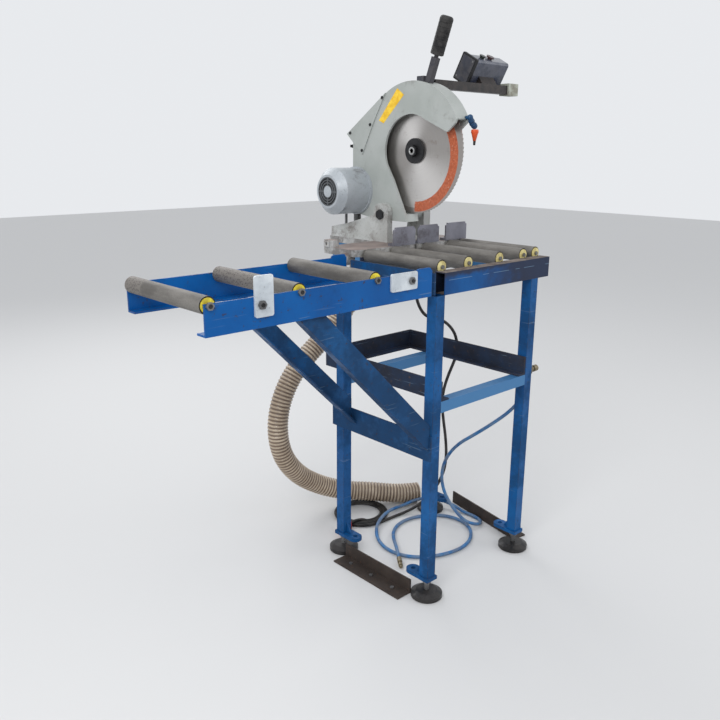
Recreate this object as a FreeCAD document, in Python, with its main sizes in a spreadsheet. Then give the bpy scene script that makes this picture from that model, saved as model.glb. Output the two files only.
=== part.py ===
import FreeCAD, Part
import Sketcher
import math
import os

# A cross-cut chop saw on a welded roller stand.
# Places are given from the stand's near left corner: X along the feed, Y away from the operator, Z up
# from the floor, in millimetres.  move_to_origin() shifts every sub-part to the middle of the machine.

os.makedirs("parts", exist_ok=True)
doc = FreeCAD.newDocument("chop_saw_stand")
Vector = FreeCAD.Vector

SIZES = {
    # stand
    "stand_width": 489, "stand_depth": 429, "tube": 35, "tube_wall": 3, "sheet_wall": 5,
    "foot_top": 73, "foot_plate": 12, "foot_reach": 104, "foot_hole": 8,
    "pad_radius": 50, "pad_rise": 24, "spindle_radius": 8, "lock_nut": 13,
    "rail_low": 968, "rail_rise": 64, "rail_deep": 38, "rail_left": 34, "rail_right": 546,
    "infeed_left": -746, "infeed_gap": 22, "infeed_rise": 74, "infeed_flange": 35, "infeed_depth": 360,
    "shelf_low": 614, "tray_rise": 61, "tray_back": 525, "tray_flange": 35,
    "side_plate_low": 468, "side_plate_rise": 80, "brace_reach": 402, "brace_low": 500, "brace_face": 58,
    "angle_leg": 60, "angle_rise": 48, "angle_wall": 5, "loose_angle": 352, "loose_turn": 11.4,
    # rollers
    "roller_radius": 21, "roller_wall": 3, "roller_top": 1062, "roller_start": 42, "roller_end": 348,
    "axle_radius": 6, "bush_gap": 0.3, "bush_width": 10, "infeed_first": -733, "infeed_pitch": 250,
    # saw table, fence, fork
    "table_left": 15, "table_right": 560, "table_front": 352, "table_back": 506, "table_wall": 22,
    "table_tail": 735, "slot_width": 12, "slot_deep": 48,
    "fence_rise": 60, "fence_wall": 6, "fence_foot": 28,
    "fork_left": 237, "fork_wall": 23, "fork_right": 452, "ear_width": 33, "fork_front": 439,
    "fork_back": 728, "fork_floor": 10, "pivot_y": 472, "pivot_z": 1152, "pivot_radius": 12,
    # head
    "head_left": 261, "head_width": 60, "head_wall": 8, "hub_y": 366, "hub_z": 1360,
    "guard_radius": 214, "rim": 8, "window_radius": 114,
    "blade_radius": 200, "kerf": 3.2, "blade_x": 291, "tooth_count": 60, "tooth_deep": 5,
    "flange_radius": 40, "flange_width": 8, "shaft_radius": 12.5,
    "bearing_radius": 26, "bearing_width": 13,
    "motor_y": 618, "motor_z": 1225, "motor_radius": 78, "motor_left": 150, "cowl_left": 126,
    "grille_radius": 47, "motor_shaft": 9.5, "motor_bore": 20,
    "spindle_pulley": 36, "motor_pulley": 42, "pulley_left": 341, "pulley_width": 24, "belt": 8,
    "cover_gap": 14, "cover_wall": 3, "free": 0.3, "play": 0.08,
    # arm, handle and switch box
    "arm_y": 317, "arm_z": 1551, "arm_side": 28, "arm_end": 695, "end_block": 54,
    "lean": 20, "bar_side": 20, "bar_length": 76, "grip_radius": 21, "grip_length": 112,
    "box_left": 512, "box_length": 182, "box_rise": 92, "box_deep": 67, "box_wall": 3, "box_turn": 28.5,
    "box_y": 359.5, "box_z": 1625, "button_radius": 11, "button_rise": 9,
    # hoses and cable
    "hose_radius": 38, "air_radius": 6, "cable_radius": 5.5,
    "coil_x": 243, "coil_y": 562, "coil_radius": 112, "coil_band": 50, "coil_rise": 14,
}


class Size:
    """A length that knows both its number and its formula in the sheet."""

    def __init__(self, value, formula):
        self.value = float(value)
        self.formula = formula

    def __add__(self, other):
        other = as_size(other)
        return Size(self.value + other.value, f"({self.formula} + {other.formula})")

    def __sub__(self, other):
        other = as_size(other)
        return Size(self.value - other.value, f"({self.formula} - {other.formula})")

    def __mul__(self, other):
        other = as_size(other)
        return Size(self.value * other.value, f"({self.formula} * {other.formula})")

    def __truediv__(self, other):
        other = as_size(other)
        return Size(self.value / other.value, f"({self.formula} / {other.formula})")

    def __neg__(self):
        return as_size(0) - self

    def __radd__(self, other):
        return as_size(other) + self

    def __rsub__(self, other):
        return as_size(other) - self

    def __rmul__(self, other):
        return as_size(other) * self


def as_size(number):
    if isinstance(number, Size):
        return number
    return Size(number, f"({float(number)!r})")


class Sheet:
    """Fills the spreadsheet and hands out its cells by name."""

    def __init__(self, table):
        self.cells = doc.addObject("Spreadsheet::Sheet", "Sizes")
        self.table = table
        for row, (name, value) in enumerate(table.items(), start=1):
            self.cells.set(f"A{row}", name)
            self.cells.set(f"B{row}", str(value))
            self.cells.setAlias(f"B{row}", name)
        doc.recompute()

    def __getattr__(self, name):
        return Size(self.table[name], f"Sizes.{name}")


s = Sheet(SIZES)
nodes = []


# ---------------------------------------------------------------- helpers

def bind(item, prop, amount):
    amount = as_size(amount)
    if "Sizes." in amount.formula:
        item.setExpression(prop, amount.formula)
    elif "." in prop:
        item.setExpression(prop, amount.formula)
    else:
        setattr(item, prop, amount.value)


def place(item, x, y, z, axis="z"):
    turns = {"z": FreeCAD.Rotation(), "x": FreeCAD.Rotation(Vector(0, 1, 0), 90),
             "y": FreeCAD.Rotation(Vector(1, 0, 0), -90), "down": FreeCAD.Rotation(Vector(1, 0, 0), 180)}
    item.Placement = FreeCAD.Placement(Vector(), turns[axis])
    bind(item, "Placement.Base.x", x)
    bind(item, "Placement.Base.y", y)
    bind(item, "Placement.Base.z", z)
    return item


def box(x, y, z, length, width, height):
    item = doc.addObject("Part::Box", "Box")
    bind(item, "Length", length)
    bind(item, "Width", width)
    bind(item, "Height", height)
    return place(item, x, y, z)


def cylinder(x, y, z, radius, height, axis="z"):
    item = doc.addObject("Part::Cylinder", "Cylinder")
    bind(item, "Radius", radius)
    bind(item, "Height", height)
    return place(item, x, y, z, axis)


def cone(x, y, z, radius, end_radius, height, axis="z"):
    item = doc.addObject("Part::Cone", "Cone")
    bind(item, "Radius1", radius)
    bind(item, "Radius2", end_radius)
    bind(item, "Height", height)
    return place(item, x, y, z, axis)


def hexagon(x, y, z, corner_radius, height, axis="z"):
    item = doc.addObject("Part::Prism", "Hexagon")
    item.Polygon = 6
    bind(item, "Circumradius", corner_radius)
    bind(item, "Height", height)
    return place(item, x, y, z, axis)


def cut(base, *tools):
    for tool in tools:
        item = doc.addObject("Part::Cut", "Cut")
        item.Base = base
        item.Tool = tool
        base = item
    return base


def fuse(*items):
    item = doc.addObject("Part::MultiFuse", "Fuse")
    item.Shapes = list(items)
    item.Refine = True
    return item


def group(items):
    item = doc.addObject("Part::Compound", "Group")
    item.Links = list(items)
    return item


def turned(items, x, y, z, axis, angle):
    """Puts pieces drawn about their own origin at a place, turned about one axis."""
    item = group(items)
    item.Placement = FreeCAD.Placement(Vector(), FreeCAD.Rotation(axis, 1))
    bind(item, "Placement.Rotation.Angle", angle)
    bind(item, "Placement.Base.x", x)
    bind(item, "Placement.Base.y", y)
    bind(item, "Placement.Base.z", z)
    return group([item])


def node(label, item):
    """Names a finished sub-part and moves it to the machine's own origin."""
    if isinstance(item, (list, tuple)):
        item = group(item)
    elif item.TypeId in ("Part::Box", "Part::Cylinder", "Part::Prism", "Part::Cone"):
        item = group([item])
    item.Label = label
    move_to_origin(item)
    nodes.append(item)
    return item


def ratio(function, angle):
    """Sine, cosine or tangent of a named angle in degrees, as number and formula."""
    return Size(function(math.radians(angle.value)), f"{function.__name__}({angle.formula})")


def middle(low, high):
    return (low + high) / 2


ORIGIN_X = middle(s.infeed_left - 8, s.arm_end + s.end_block)
ORIGIN_Y = middle(s.tube / 2 - s.pad_radius, s.table_tail)


def move_to_origin(item):
    bind(item, "Placement.Base.x", -ORIGIN_X)
    bind(item, "Placement.Base.y", -ORIGIN_Y)


class Body:
    """A PartDesign body drawn in the stand's frame with bound sketches."""

    def __init__(self, name):
        self.item = doc.addObject("PartDesign::Body", f"{name}_body")

    def plane(self, role):
        return [f for f in self.item.Origin.OriginFeatures if f.Role == role][0]

    def sketch(self, role, offset):
        drawing = self.item.newObject("Sketcher::SketchObject", "Sketch")
        drawing.AttachmentSupport = (self.plane(role), [""])
        drawing.MapMode = "FlatFace"
        bind(drawing, "AttachmentOffset.Base.z", offset)
        return drawing

    def pad(self, drawing, length, reverse=False):
        feature = self.item.newObject("PartDesign::Pad", "Pad")
        feature.Profile = drawing
        feature.Reversed = reverse
        bind(feature, "Length", length)
        return feature

    def pocket(self, drawing, length, reverse=True):
        before = self.volume()
        feature = self.item.newObject("PartDesign::Pocket", "Pocket")
        feature.Profile = drawing
        feature.Reversed = reverse
        bind(feature, "Length", length)
        after = self.volume()
        if not after < before:
            raise ValueError(f"{self.item.Name}: a pocket removed nothing")
        return feature

    def spin(self, drawing, axis="V_Axis"):
        feature = self.item.newObject("PartDesign::Revolution", "Revolution")
        feature.Profile = drawing
        feature.ReferenceAxis = (drawing, [axis])
        feature.Angle = 360
        return feature

    def volume(self):
        doc.recompute()
        return self.item.Shape.Volume


def pin_point(drawing, geometry, end, point):
    for axis, amount in (("DistanceX", point[0]), ("DistanceY", point[1])):
        amount = as_size(amount)
        index = drawing.addConstraint(Sketcher.Constraint(axis, -1, 1, geometry, end, amount.value))
        if "Sizes." in amount.formula:
            drawing.setExpression(f"Constraints[{index}]", amount.formula)


def arc_between(start, end, radius, side):
    """The short arc from start to end; side 1 bulges to the left of the way, -1 to the right."""
    chord = end - start
    half = chord.Length / 2
    rise = math.sqrt(max(radius * radius - half * half, 0))
    normal = Vector(-chord.y, chord.x, 0).normalize()
    centre = (start + end) / 2 - normal * rise * side
    first = math.atan2(start.y - centre.y, start.x - centre.x)
    last = math.atan2(end.y - centre.y, end.x - centre.x)
    if side > 0:
        first, last = last, first
    circle = Part.Circle(centre, Vector(0, 0, 1), radius)
    return Part.ArcOfCircle(circle, first, last)


def outline(drawing, corners):
    """Closes a loop through the corners.  A corner (a, b, radius, side) starts an arc to the next one."""
    first = drawing.GeometryCount
    flipped = []
    for number, corner in enumerate(corners):
        following = corners[(number + 1) % len(corners)]
        start = Vector(as_size(corner[0]).value, as_size(corner[1]).value, 0)
        end = Vector(as_size(following[0]).value, as_size(following[1]).value, 0)
        if len(corner) == 2:
            drawing.addGeometry(Part.LineSegment(start, end))
            flipped.append(False)
        else:
            radius, side = as_size(corner[2]), corner[3]
            drawing.addGeometry(arc_between(start, end, radius.value, side))
            flipped.append(side > 0)
    for number, corner in enumerate(corners):
        geometry = first + number
        following = (number + 1) % len(corners)
        own_end = 1 if flipped[number] else 2
        next_start = 2 if flipped[following] else 1
        drawing.addConstraint(Sketcher.Constraint("Coincident", geometry, own_end,
                                                  first + following, next_start))
        pin_point(drawing, geometry, 2 if flipped[number] else 1, corner)
        if len(corner) == 4:
            radius = as_size(corner[2])
            index = drawing.addConstraint(Sketcher.Constraint("Radius", geometry, radius.value))
            if "Sizes." in radius.formula:
                drawing.setExpression(f"Constraints[{index}]", radius.formula)
    return drawing


def circle(drawing, across, up, radius):
    across, up, radius = as_size(across), as_size(up), as_size(radius)
    centre = Vector(across.value, up.value, 0)
    geometry = drawing.addGeometry(Part.Circle(centre, Vector(0, 0, 1), radius.value))
    pin_point(drawing, geometry, 3, (across, up))
    index = drawing.addConstraint(Sketcher.Constraint("Radius", geometry, radius.value))
    if "Sizes." in radius.formula:
        drawing.setExpression(f"Constraints[{index}]", radius.formula)
    return drawing


def polar(centre_y, centre_z, radius, degrees):
    """A point at a fixed bearing on a circle whose radius may change."""
    turn = math.radians(degrees)
    return centre_y + radius * round(math.cos(turn), 6), centre_z + radius * round(math.sin(turn), 6)


# ---------------------------------------------------------------- stand

INNER_LEFT = s.tube
INNER_RIGHT = s.stand_width - s.tube
INNER_BACK = s.stand_depth - s.tube
CORNERS = [(0, 0, 1), (INNER_RIGHT, 0, 1), (0, INNER_BACK, -1), (INNER_RIGHT, INNER_BACK, -1)]


def hollow_bar(x, y, z, length, width, height, along):
    """A square or oblong tube, open at both ends along one axis."""
    wall = s.tube_wall
    grow = {"x": (0, 1, 1), "y": (1, 0, 1), "z": (1, 1, 0)}[along]
    inner = [place_value + wall * g for place_value, g in zip((x, y, z), grow)]
    size = [amount - 2 * wall * g for amount, g in zip((length, width, height), grow)]
    return cut(box(x, y, z, length, width, height), box(*inner, *size))


def legs():
    rise = s.rail_low - s.foot_top
    node("legs", [hollow_bar(x, y, s.foot_top, s.tube, s.tube, rise, "z") for x, y, _ in CORNERS])


def foot_plate(x, y, side):
    """A tongue with one anchor hole, reaching inwards along the stand's side from under the leg."""
    low = s.foot_top - s.foot_plate
    across = x + s.tube / 2
    half = s.tube / 2 + 5
    square = s.foot_reach - half
    start = y - 5 if side > 0 else y + s.tube + 5 - square
    nose = start + square if side > 0 else start
    plate = fuse(box(x - 5, start, low, 2 * half, square, s.foot_plate),
                 cylinder(across, nose, low, half, s.foot_plate))
    stud = cylinder(across, y + s.tube / 2, low, s.spindle_radius, s.foot_plate)
    return cut(plate, cylinder(across, nose, low, s.foot_hole, s.foot_plate), stud)


def feet():
    plates, pads, spindles = [], [], []
    low = s.foot_top - s.foot_plate
    for x, y, side in CORNERS:
        plates.append(foot_plate(x, y, side))
        across, along = x + s.tube / 2, y + s.tube / 2
        pad = fuse(cylinder(across, along, 0, s.pad_radius - 3, 3),
                   cylinder(across, along, 3, s.pad_radius, s.pad_rise - 12),
                   cone(across, along, s.pad_rise - 9, s.pad_radius, s.pad_radius - 16, 9))
        pads.append(cut(pad, cylinder(across, along, 10, s.spindle_radius, s.pad_rise)))
        stud = cylinder(across, along, 10, s.spindle_radius, s.foot_top + 8 - 10)
        spindles.append(stud)
        nut = hexagon(across, along, low - s.lock_nut, 14, s.lock_nut)
        spindles.append(cut(nut, cylinder(across, along, low - s.lock_nut, s.spindle_radius, s.lock_nut)))
    node("foot_plates", plates + gussets())
    node("levelling_pads", pads)
    node("levelling_spindles", spindles)


def gussets():
    """Triangular ribs between each leg and its foot plate."""
    ribs = []
    for x, y, side in CORNERS:
        body = Body("gusset")
        foot = y + s.tube if side > 0 else y
        way = 1 if side > 0 else -1
        body.pad(outline(body.sketch("YZ_Plane", x + s.tube / 2 - 3), [
            (foot, s.foot_top), (foot + way * 24, s.foot_top), (foot, s.foot_top + 34)]), 6)
        ribs.append(body.item)
    return ribs


def cross_tubes():
    low, rise = s.rail_low, s.tube
    between = INNER_RIGHT - INNER_LEFT
    rear = hollow_bar(s.tube, INNER_BACK, low - rise, between, s.tube, rise, "x")
    depth = s.table_front - 2 - s.rail_deep
    left = hollow_bar(0, s.rail_deep, low, s.tube, depth, 32, "y")
    right = hollow_bar(INNER_RIGHT, s.rail_deep, low, s.tube, depth, 32, "y")
    shelf_front = hollow_bar(s.tube, 0, s.shelf_low, between, s.tube, s.tube, "x")
    shelf_rear = hollow_bar(s.tube, INNER_BACK, s.shelf_low, between, s.tube, s.tube, "x")
    low_base = s.roller_top - 2 - s.table_wall
    reach = s.table_tail - 8 - s.table_front - 6
    arms = [hollow_bar(x, s.table_front + 6, low, s.tube - 5, reach, low_base - low, "y")
            for x in (s.fork_left + 5, s.fork_right - s.tube + 3)]
    end_plate = box(-s.sheet_wall, s.sheet_wall, s.rail_low + 4, s.sheet_wall, s.infeed_depth - 2 * s.sheet_wall,
                    62)
    node("cross_tubes", [rear, left, right, shelf_front, shelf_rear] + arms)
    return end_plate


def table_rails():
    length = s.rail_right - s.rail_left
    near = hollow_bar(s.rail_left, 0, s.rail_low, length, s.rail_deep, s.rail_rise, "x")
    wall = s.sheet_wall
    back = s.table_front
    far = fuse(box(s.rail_left, back - 2, s.rail_low, length, wall, s.rail_rise + 6),
               box(s.rail_left, back - 2, s.rail_low - wall, length, s.infeed_flange, wall))
    axis = s.roller_top - s.roller_radius
    drills = [cylinder(x, s.rail_deep - 2 * s.tube_wall, axis, s.axle_radius, 2 * s.tube_wall + 1, "y")
              for x in TABLE_ROLLERS]
    far_drills = [cylinder(x, back - 3, axis, s.axle_radius, wall + 2, "y") for x in TABLE_ROLLERS]
    far_drills.append(cylinder(318, 372, s.rail_low - 2 * wall, 9, 3 * wall))
    seats = [box(x - s.axle_radius, s.rail_deep - 2 * s.tube_wall, s.rail_low + s.rail_rise - 8,
                 2 * s.axle_radius, 2 * s.tube_wall + 1, 9) for x in TABLE_ROLLERS]
    node("table_rails", [cut(near, group(drills), group(seats)), cut(far, group(far_drills))])


TABLE_ROLLERS = (64, 183, 334, 457, 524)
INFEED_ROLLERS = tuple(s.infeed_first + s.infeed_pitch * number for number in range(3))


def infeed_rail(face, inward, bolt_holes=()):
    """An upright sheet with a flange along its foot and a raised round end beside the saw."""
    wall = s.sheet_wall
    low = s.rail_low + 4
    right = -s.infeed_gap
    length = right - s.infeed_left
    web_y = face if inward > 0 else face - wall
    flange_y = face + wall if inward > 0 else face - s.infeed_flange
    nose = 40
    web = fuse(box(s.infeed_left, web_y, low, length, wall, s.infeed_rise),
               box(right - nose - 12, web_y, low + s.infeed_rise, nose, wall, 8),
               cylinder(right - nose - 12, web_y, low + s.infeed_rise, 8, wall, "y"),
               cylinder(right - 12, web_y, low + s.infeed_rise, 8, wall, "y"),
               box(s.infeed_left, flange_y, low, length, s.infeed_flange - wall, wall))
    axis = s.roller_top - s.roller_radius
    holes = [cylinder(x, web_y - 1, axis, s.axle_radius, wall + 2, "y") for x in INFEED_ROLLERS]
    return cut(web, group(holes + list(bolt_holes)))


def braces():
    """Two flat bars with a stiffening lip, from the legs up to the infeed rails."""
    low, face, reach = s.brace_low, s.brace_face, s.brace_reach
    top = s.rail_low + 4
    drop = face * 1.414
    root = -s.sheet_wall
    bars = []
    for near, lip in ((6, 6 + 5), (s.infeed_depth - 11, s.infeed_depth - 36)):
        body = Body("brace")
        plate = outline(body.sketch("XZ_Plane", -near), [
            (root, low), (root, low + drop), (-reach, top), (-reach - drop, top)])
        body.pad(plate, s.sheet_wall, reverse=True)
        rib = outline(body.sketch("XZ_Plane", -lip), [
            (root, low), (root, low + 7), (-reach - drop + 7, top), (-reach - drop, top)])
        body.pad(rib, 25, reverse=True)
        bars.append(body.item)
    node("braces", bars)


def side_plate():
    back = s.stand_depth + 14
    return box(-s.sheet_wall, 0, s.side_plate_low, s.sheet_wall, back, s.side_plate_rise)


def shelf_tray():
    """Three angle irons, open towards the operator, on the two shelf tubes."""
    wall = s.sheet_wall
    low = s.shelf_low + s.tube
    left, right, back = s.tube + 1, INNER_RIGHT - 1, s.tray_back
    side_depth = back - wall - 1
    sides = []
    for x, flange in ((left, left + wall), (right - wall, right - s.tray_flange)):
        sides.append(fuse(box(x, 1, low, wall, side_depth, s.tray_rise),
                          box(flange, 1, low, s.tray_flange - wall, side_depth, wall)))
    rear = fuse(box(left, back - wall, low, right - left, wall, s.tray_rise),
                box(left + s.tray_flange, back - s.tray_flange, low, right - left - 2 * s.tray_flange,
                    s.tray_flange - wall, wall))
    node("shelf_angles", sides + [rear])


def floor_angles():
    """Raw angle irons on the floor, pushed against the levelling pads; the right one lies askew."""
    wall, leg, rise = s.angle_wall, s.angle_leg, s.angle_rise
    start = s.tube / 2 + 43.4
    length = s.stand_depth - 2 * start
    irons, heads = [], []
    left = [box(-8 - leg, start, 0, leg, length, wall), box(-8 - wall, start, 0, wall, length, rise)]
    right = [box(0, 0, 0, leg, s.loose_angle, wall), box(0, 0, 0, wall, s.loose_angle, rise)]
    for flanges, across, first, span in ((left, -8 - leg / 2, start, length),
                                         (right, leg / 2, as_size(0), s.loose_angle)):
        places = [first + span * share for share in (0.18, 0.5, 0.82)]
        irons.append(cut(fuse(*flanges), group([cylinder(across, y, 0, 4, wall) for y in places])))
        heads.append([hexagon(across, y, wall, 7, 4) for y in places])
    corner = (s.stand_width + 24, 46.2, 0)
    askew = Vector(0, 0, -1)
    node("floor_angles", [irons[0], turned([irons[1]], *corner, askew, s.loose_turn)])
    return heads[0] + [turned(heads[1], *corner, askew, s.loose_turn)]


# ---------------------------------------------------------------- rollers

def roller(name, x, start, end):
    """A steel tube that turns on two plastic bushes."""
    axis = s.roller_top - s.roller_radius
    length = end - start
    bore = s.roller_radius - s.roller_wall
    node(name, cut(cylinder(x, start, axis, s.roller_radius, length, "y"),
                   cylinder(x, start, axis, bore, length, "y")))


def roller_parts(x, start, end, seat_start, seat_end, bolted):
    axis = s.roller_top - s.roller_radius
    reach = s.roller_radius - s.roller_wall - s.bush_gap
    bushes = []
    for place_y in (start - 2, end + 2 - s.bush_width):
        bushes.append(cut(cylinder(x, place_y, axis, reach, s.bush_width, "y"),
                          cylinder(x, place_y, axis, s.axle_radius, s.bush_width, "y")))
    axle = cylinder(x, seat_start, axis, s.axle_radius, seat_end - seat_start, "y")
    if not bolted:
        return bushes, [axle]
    head = hexagon(x, seat_start - 6, axis, 10, 6, "y")
    nut = cut(hexagon(x, seat_end - 7, axis, 10, 6, "y"),
              cylinder(x, seat_end - 7, axis, s.axle_radius, 6, "y"))
    return bushes, [fuse(axle, head), nut]


def rollers():
    all_bushes, all_axles = [], []
    for number, x in enumerate(INFEED_ROLLERS, start=1):
        start, end = s.sheet_wall + 3, s.infeed_depth - s.sheet_wall - 3
        roller(f"infeed_roller_{number}", x, start, end)
        bushes, axle = roller_parts(x, start, end, 0, s.infeed_depth + 8, True)
        all_bushes += bushes
        all_axles += axle
    for number, x in enumerate(TABLE_ROLLERS, start=1):
        roller(f"table_roller_{number}", x, s.roller_start, s.roller_end)
        bushes, axle = roller_parts(x, s.roller_start, s.roller_end, s.rail_deep - s.tube_wall,
                                    s.table_front + s.sheet_wall - 2, False)
        all_bushes += bushes
        all_axles += axle
    node("roller_bushes", all_bushes)
    node("roller_axles", all_axles)


def stop_plate(name, bolt_x, rise, low, back, ahead):
    """A zinc plate that swings on one bolt through the near infeed rail."""
    bolt_z = s.rail_low + 59
    body = Body(name)
    wall = 5
    left, right = bolt_x - back, bolt_x + ahead
    drawing = body.sketch("XZ_Plane", 0.3)
    corner = 6
    outline(drawing, [
        (left + corner, bolt_z - low), (right - corner, bolt_z - low, corner, -1),
        (right, bolt_z - low + corner), (right, bolt_z + rise - corner, corner, -1),
        (right - corner, bolt_z + rise), (left + corner, bolt_z + rise, corner, -1),
        (left, bolt_z + rise - corner), (left, bolt_z - low + corner, corner, -1)])
    circle(drawing, bolt_x, bolt_z, 6.3)
    body.pad(drawing, wall)
    node(name, body.item)
    shank = cylinder(bolt_x, -12, bolt_z, 6, 12 + s.sheet_wall + 9, "y")
    head = hexagon(bolt_x, -12, bolt_z, 11, 6.4, "y")
    nut = cut(hexagon(bolt_x, s.sheet_wall, bolt_z, 11, 8, "y"),
              cylinder(bolt_x, s.sheet_wall, bolt_z, 6, 8, "y"))
    return [fuse(shank, head), nut], cylinder(bolt_x, -1, bolt_z, 6, s.sheet_wall + 2, "y")


# ---------------------------------------------------------------- saw table and fence

TABLE_TOP = s.roller_top - 2
TABLE_LOW = s.roller_top - 2 - s.table_wall


def saw_table(fence_holes):
    left, right, front, back = s.table_left, s.table_right, s.table_front, s.table_back
    corner = 26
    body = Body("saw_table")
    body.pad(outline(body.sketch("XY_Plane", TABLE_LOW), [
        (left + corner, front + 4), (right - corner, front + 4, corner, -1),
        (right, front + 4 + corner), (right, back),
        (s.fork_right, back), (s.fork_right, s.table_tail),
        (s.fork_left, s.table_tail), (s.fork_left, back),
        (left, back), (left, front + 4 + corner, corner, -1)]), s.table_wall)
    body.pocket(outline(body.sketch("XY_Plane", TABLE_LOW), [
        (s.blade_x - s.slot_width / 2, front), (s.blade_x + s.slot_width / 2, front),
        (s.blade_x + s.slot_width / 2, front + s.slot_deep),
        (s.blade_x - s.slot_width / 2, front + s.slot_deep)]), s.table_wall)
    body.pocket(circle(body.sketch("XY_Plane", TABLE_LOW), 320, 665, 30), s.table_wall)
    ear = fuse(box(left, back - 44, TABLE_TOP, 26, 44, 22),
               box(left - 6, back - 30, TABLE_TOP, 8, 24, 18))
    hole = cylinder(left - 8, back - 18, TABLE_TOP + 10, 5, 40, "x")
    boss = cylinder(left - 14, front + 46, TABLE_LOW - 8, 20, 34, "x")
    node("saw_table", cut(fuse(body.item, cut(ear, hole), boss), group(fence_holes)))


def fences():
    plates, bolts, holes = [], [], []
    low = TABLE_TOP
    corner = 8
    for number, (left, right) in enumerate(((182, 284), (298, 401), (438, 547)), start=1):
        body = Body(f"fence_{number}")
        drawing = body.sketch("XZ_Plane", -s.table_front)
        outline(drawing, [
            (left, low), (right, low), (right, low + s.fence_rise - corner, corner, 1),
            (right - corner, low + s.fence_rise), (left + corner, low + s.fence_rise, corner, 1),
            (left, low + s.fence_rise - corner)])
        body.pad(drawing, s.fence_wall, reverse=True)
        foot = body.sketch("XY_Plane", low)
        outline(foot, [(left, s.table_front + s.fence_wall - 1), (right, s.table_front + s.fence_wall - 1),
                       (right, s.table_front + s.fence_foot), (left, s.table_front + s.fence_foot)])
        for x in (left + 22, right - 22):
            circle(foot, x, s.table_front + s.fence_foot - 10, 4)
            bolts.append(fuse(cylinder(x, s.table_front + s.fence_foot - 10, low - 12, 4, 20),
                              hexagon(x, s.table_front + s.fence_foot - 10, low + 8, 7.5, 5)))
            holes.append(cylinder(x, s.table_front + s.fence_foot - 10, low - 12, 4.02, 12))
        body.pad(foot, 8)
        plates.append(body.item)
    node("fence_plates", plates)
    return bolts, holes


def fork():
    """The cast fork that carries the head: two upright cheeks on one floor."""
    low, front, back = TABLE_TOP, s.fork_front, s.fork_back
    py, pz = s.pivot_y, s.pivot_z
    body = Body("fork")
    body.pad(outline(body.sketch("YZ_Plane", s.fork_left), [
        (front, low), (back, low), (back - 3, low + 34), (py + 170, low + 51),
        (py + 37, pz - 4), (py + 35, pz + 8, 35, -1), (front, pz + 13)]), s.fork_wall)
    body.pad(outline(body.sketch("YZ_Plane", s.fork_right - s.ear_width), [
        (front + 2, low), (py + 60, low), (py + 35, pz + 8, 35, -1), (front + 2, pz + 13)]), s.ear_width)
    body.pad(outline(body.sketch("XY_Plane", low), [
        (s.fork_left, front), (s.fork_right, front), (s.fork_right, back), (s.fork_left, back)]),
        s.fork_floor)
    body.pad(outline(body.sketch("XY_Plane", low), [
        (s.fork_left + 4, back - 104), (s.head_left + 50, back - 104),
        (s.head_left + 50, back - 4), (s.fork_left + 4, back - 4)]), 34)
    body.pocket(circle(body.sketch("YZ_Plane", s.fork_left - 1), py, pz, s.pivot_radius + s.play),
                s.fork_right - s.fork_left + 2)
    body.pocket(circle(body.sketch("XY_Plane", low - 1), 340, 665, 26), s.fork_floor + 2)
    node("fork", body.item)


def pivot_shaft():
    reach = s.fork_right - s.fork_left
    shaft = cylinder(s.fork_left, s.pivot_y, s.pivot_z, s.pivot_radius, reach + 14, "x")
    head = hexagon(s.fork_left - 9, s.pivot_y, s.pivot_z, 17, 9, "x")
    nut = cut(hexagon(s.fork_right, s.pivot_y, s.pivot_z, 17, 11, "x"),
              cylinder(s.fork_right, s.pivot_y, s.pivot_z, s.pivot_radius, 11, "x"))
    node("pivot_bolt", [fuse(shaft, head), nut])


def head_stops():
    """A lock-nutted stop bolt and a rubber buffer under the head's tail."""
    seat = TABLE_TOP + 34
    x = s.head_left + 24
    bolt = fuse(cylinder(x, s.pivot_y + 228, seat, 5, 51), hexagon(x, s.pivot_y + 228, seat, 9, 8),
                hexagon(x, s.pivot_y + 228, seat + 49, 9, 7))
    buffer = fuse(cylinder(x, s.pivot_y + 168, seat, 9, 12), cylinder(x, s.pivot_y + 168, seat + 12, 13, 39))
    node("head_stops", [bolt, buffer])


# ---------------------------------------------------------------- head

HUB = (s.hub_y, s.hub_z)
BORE = s.guard_radius - s.rim


def guard_point(degrees, radius=None):
    return polar(s.hub_y, s.hub_z, s.guard_radius if radius is None else radius, degrees)


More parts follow.
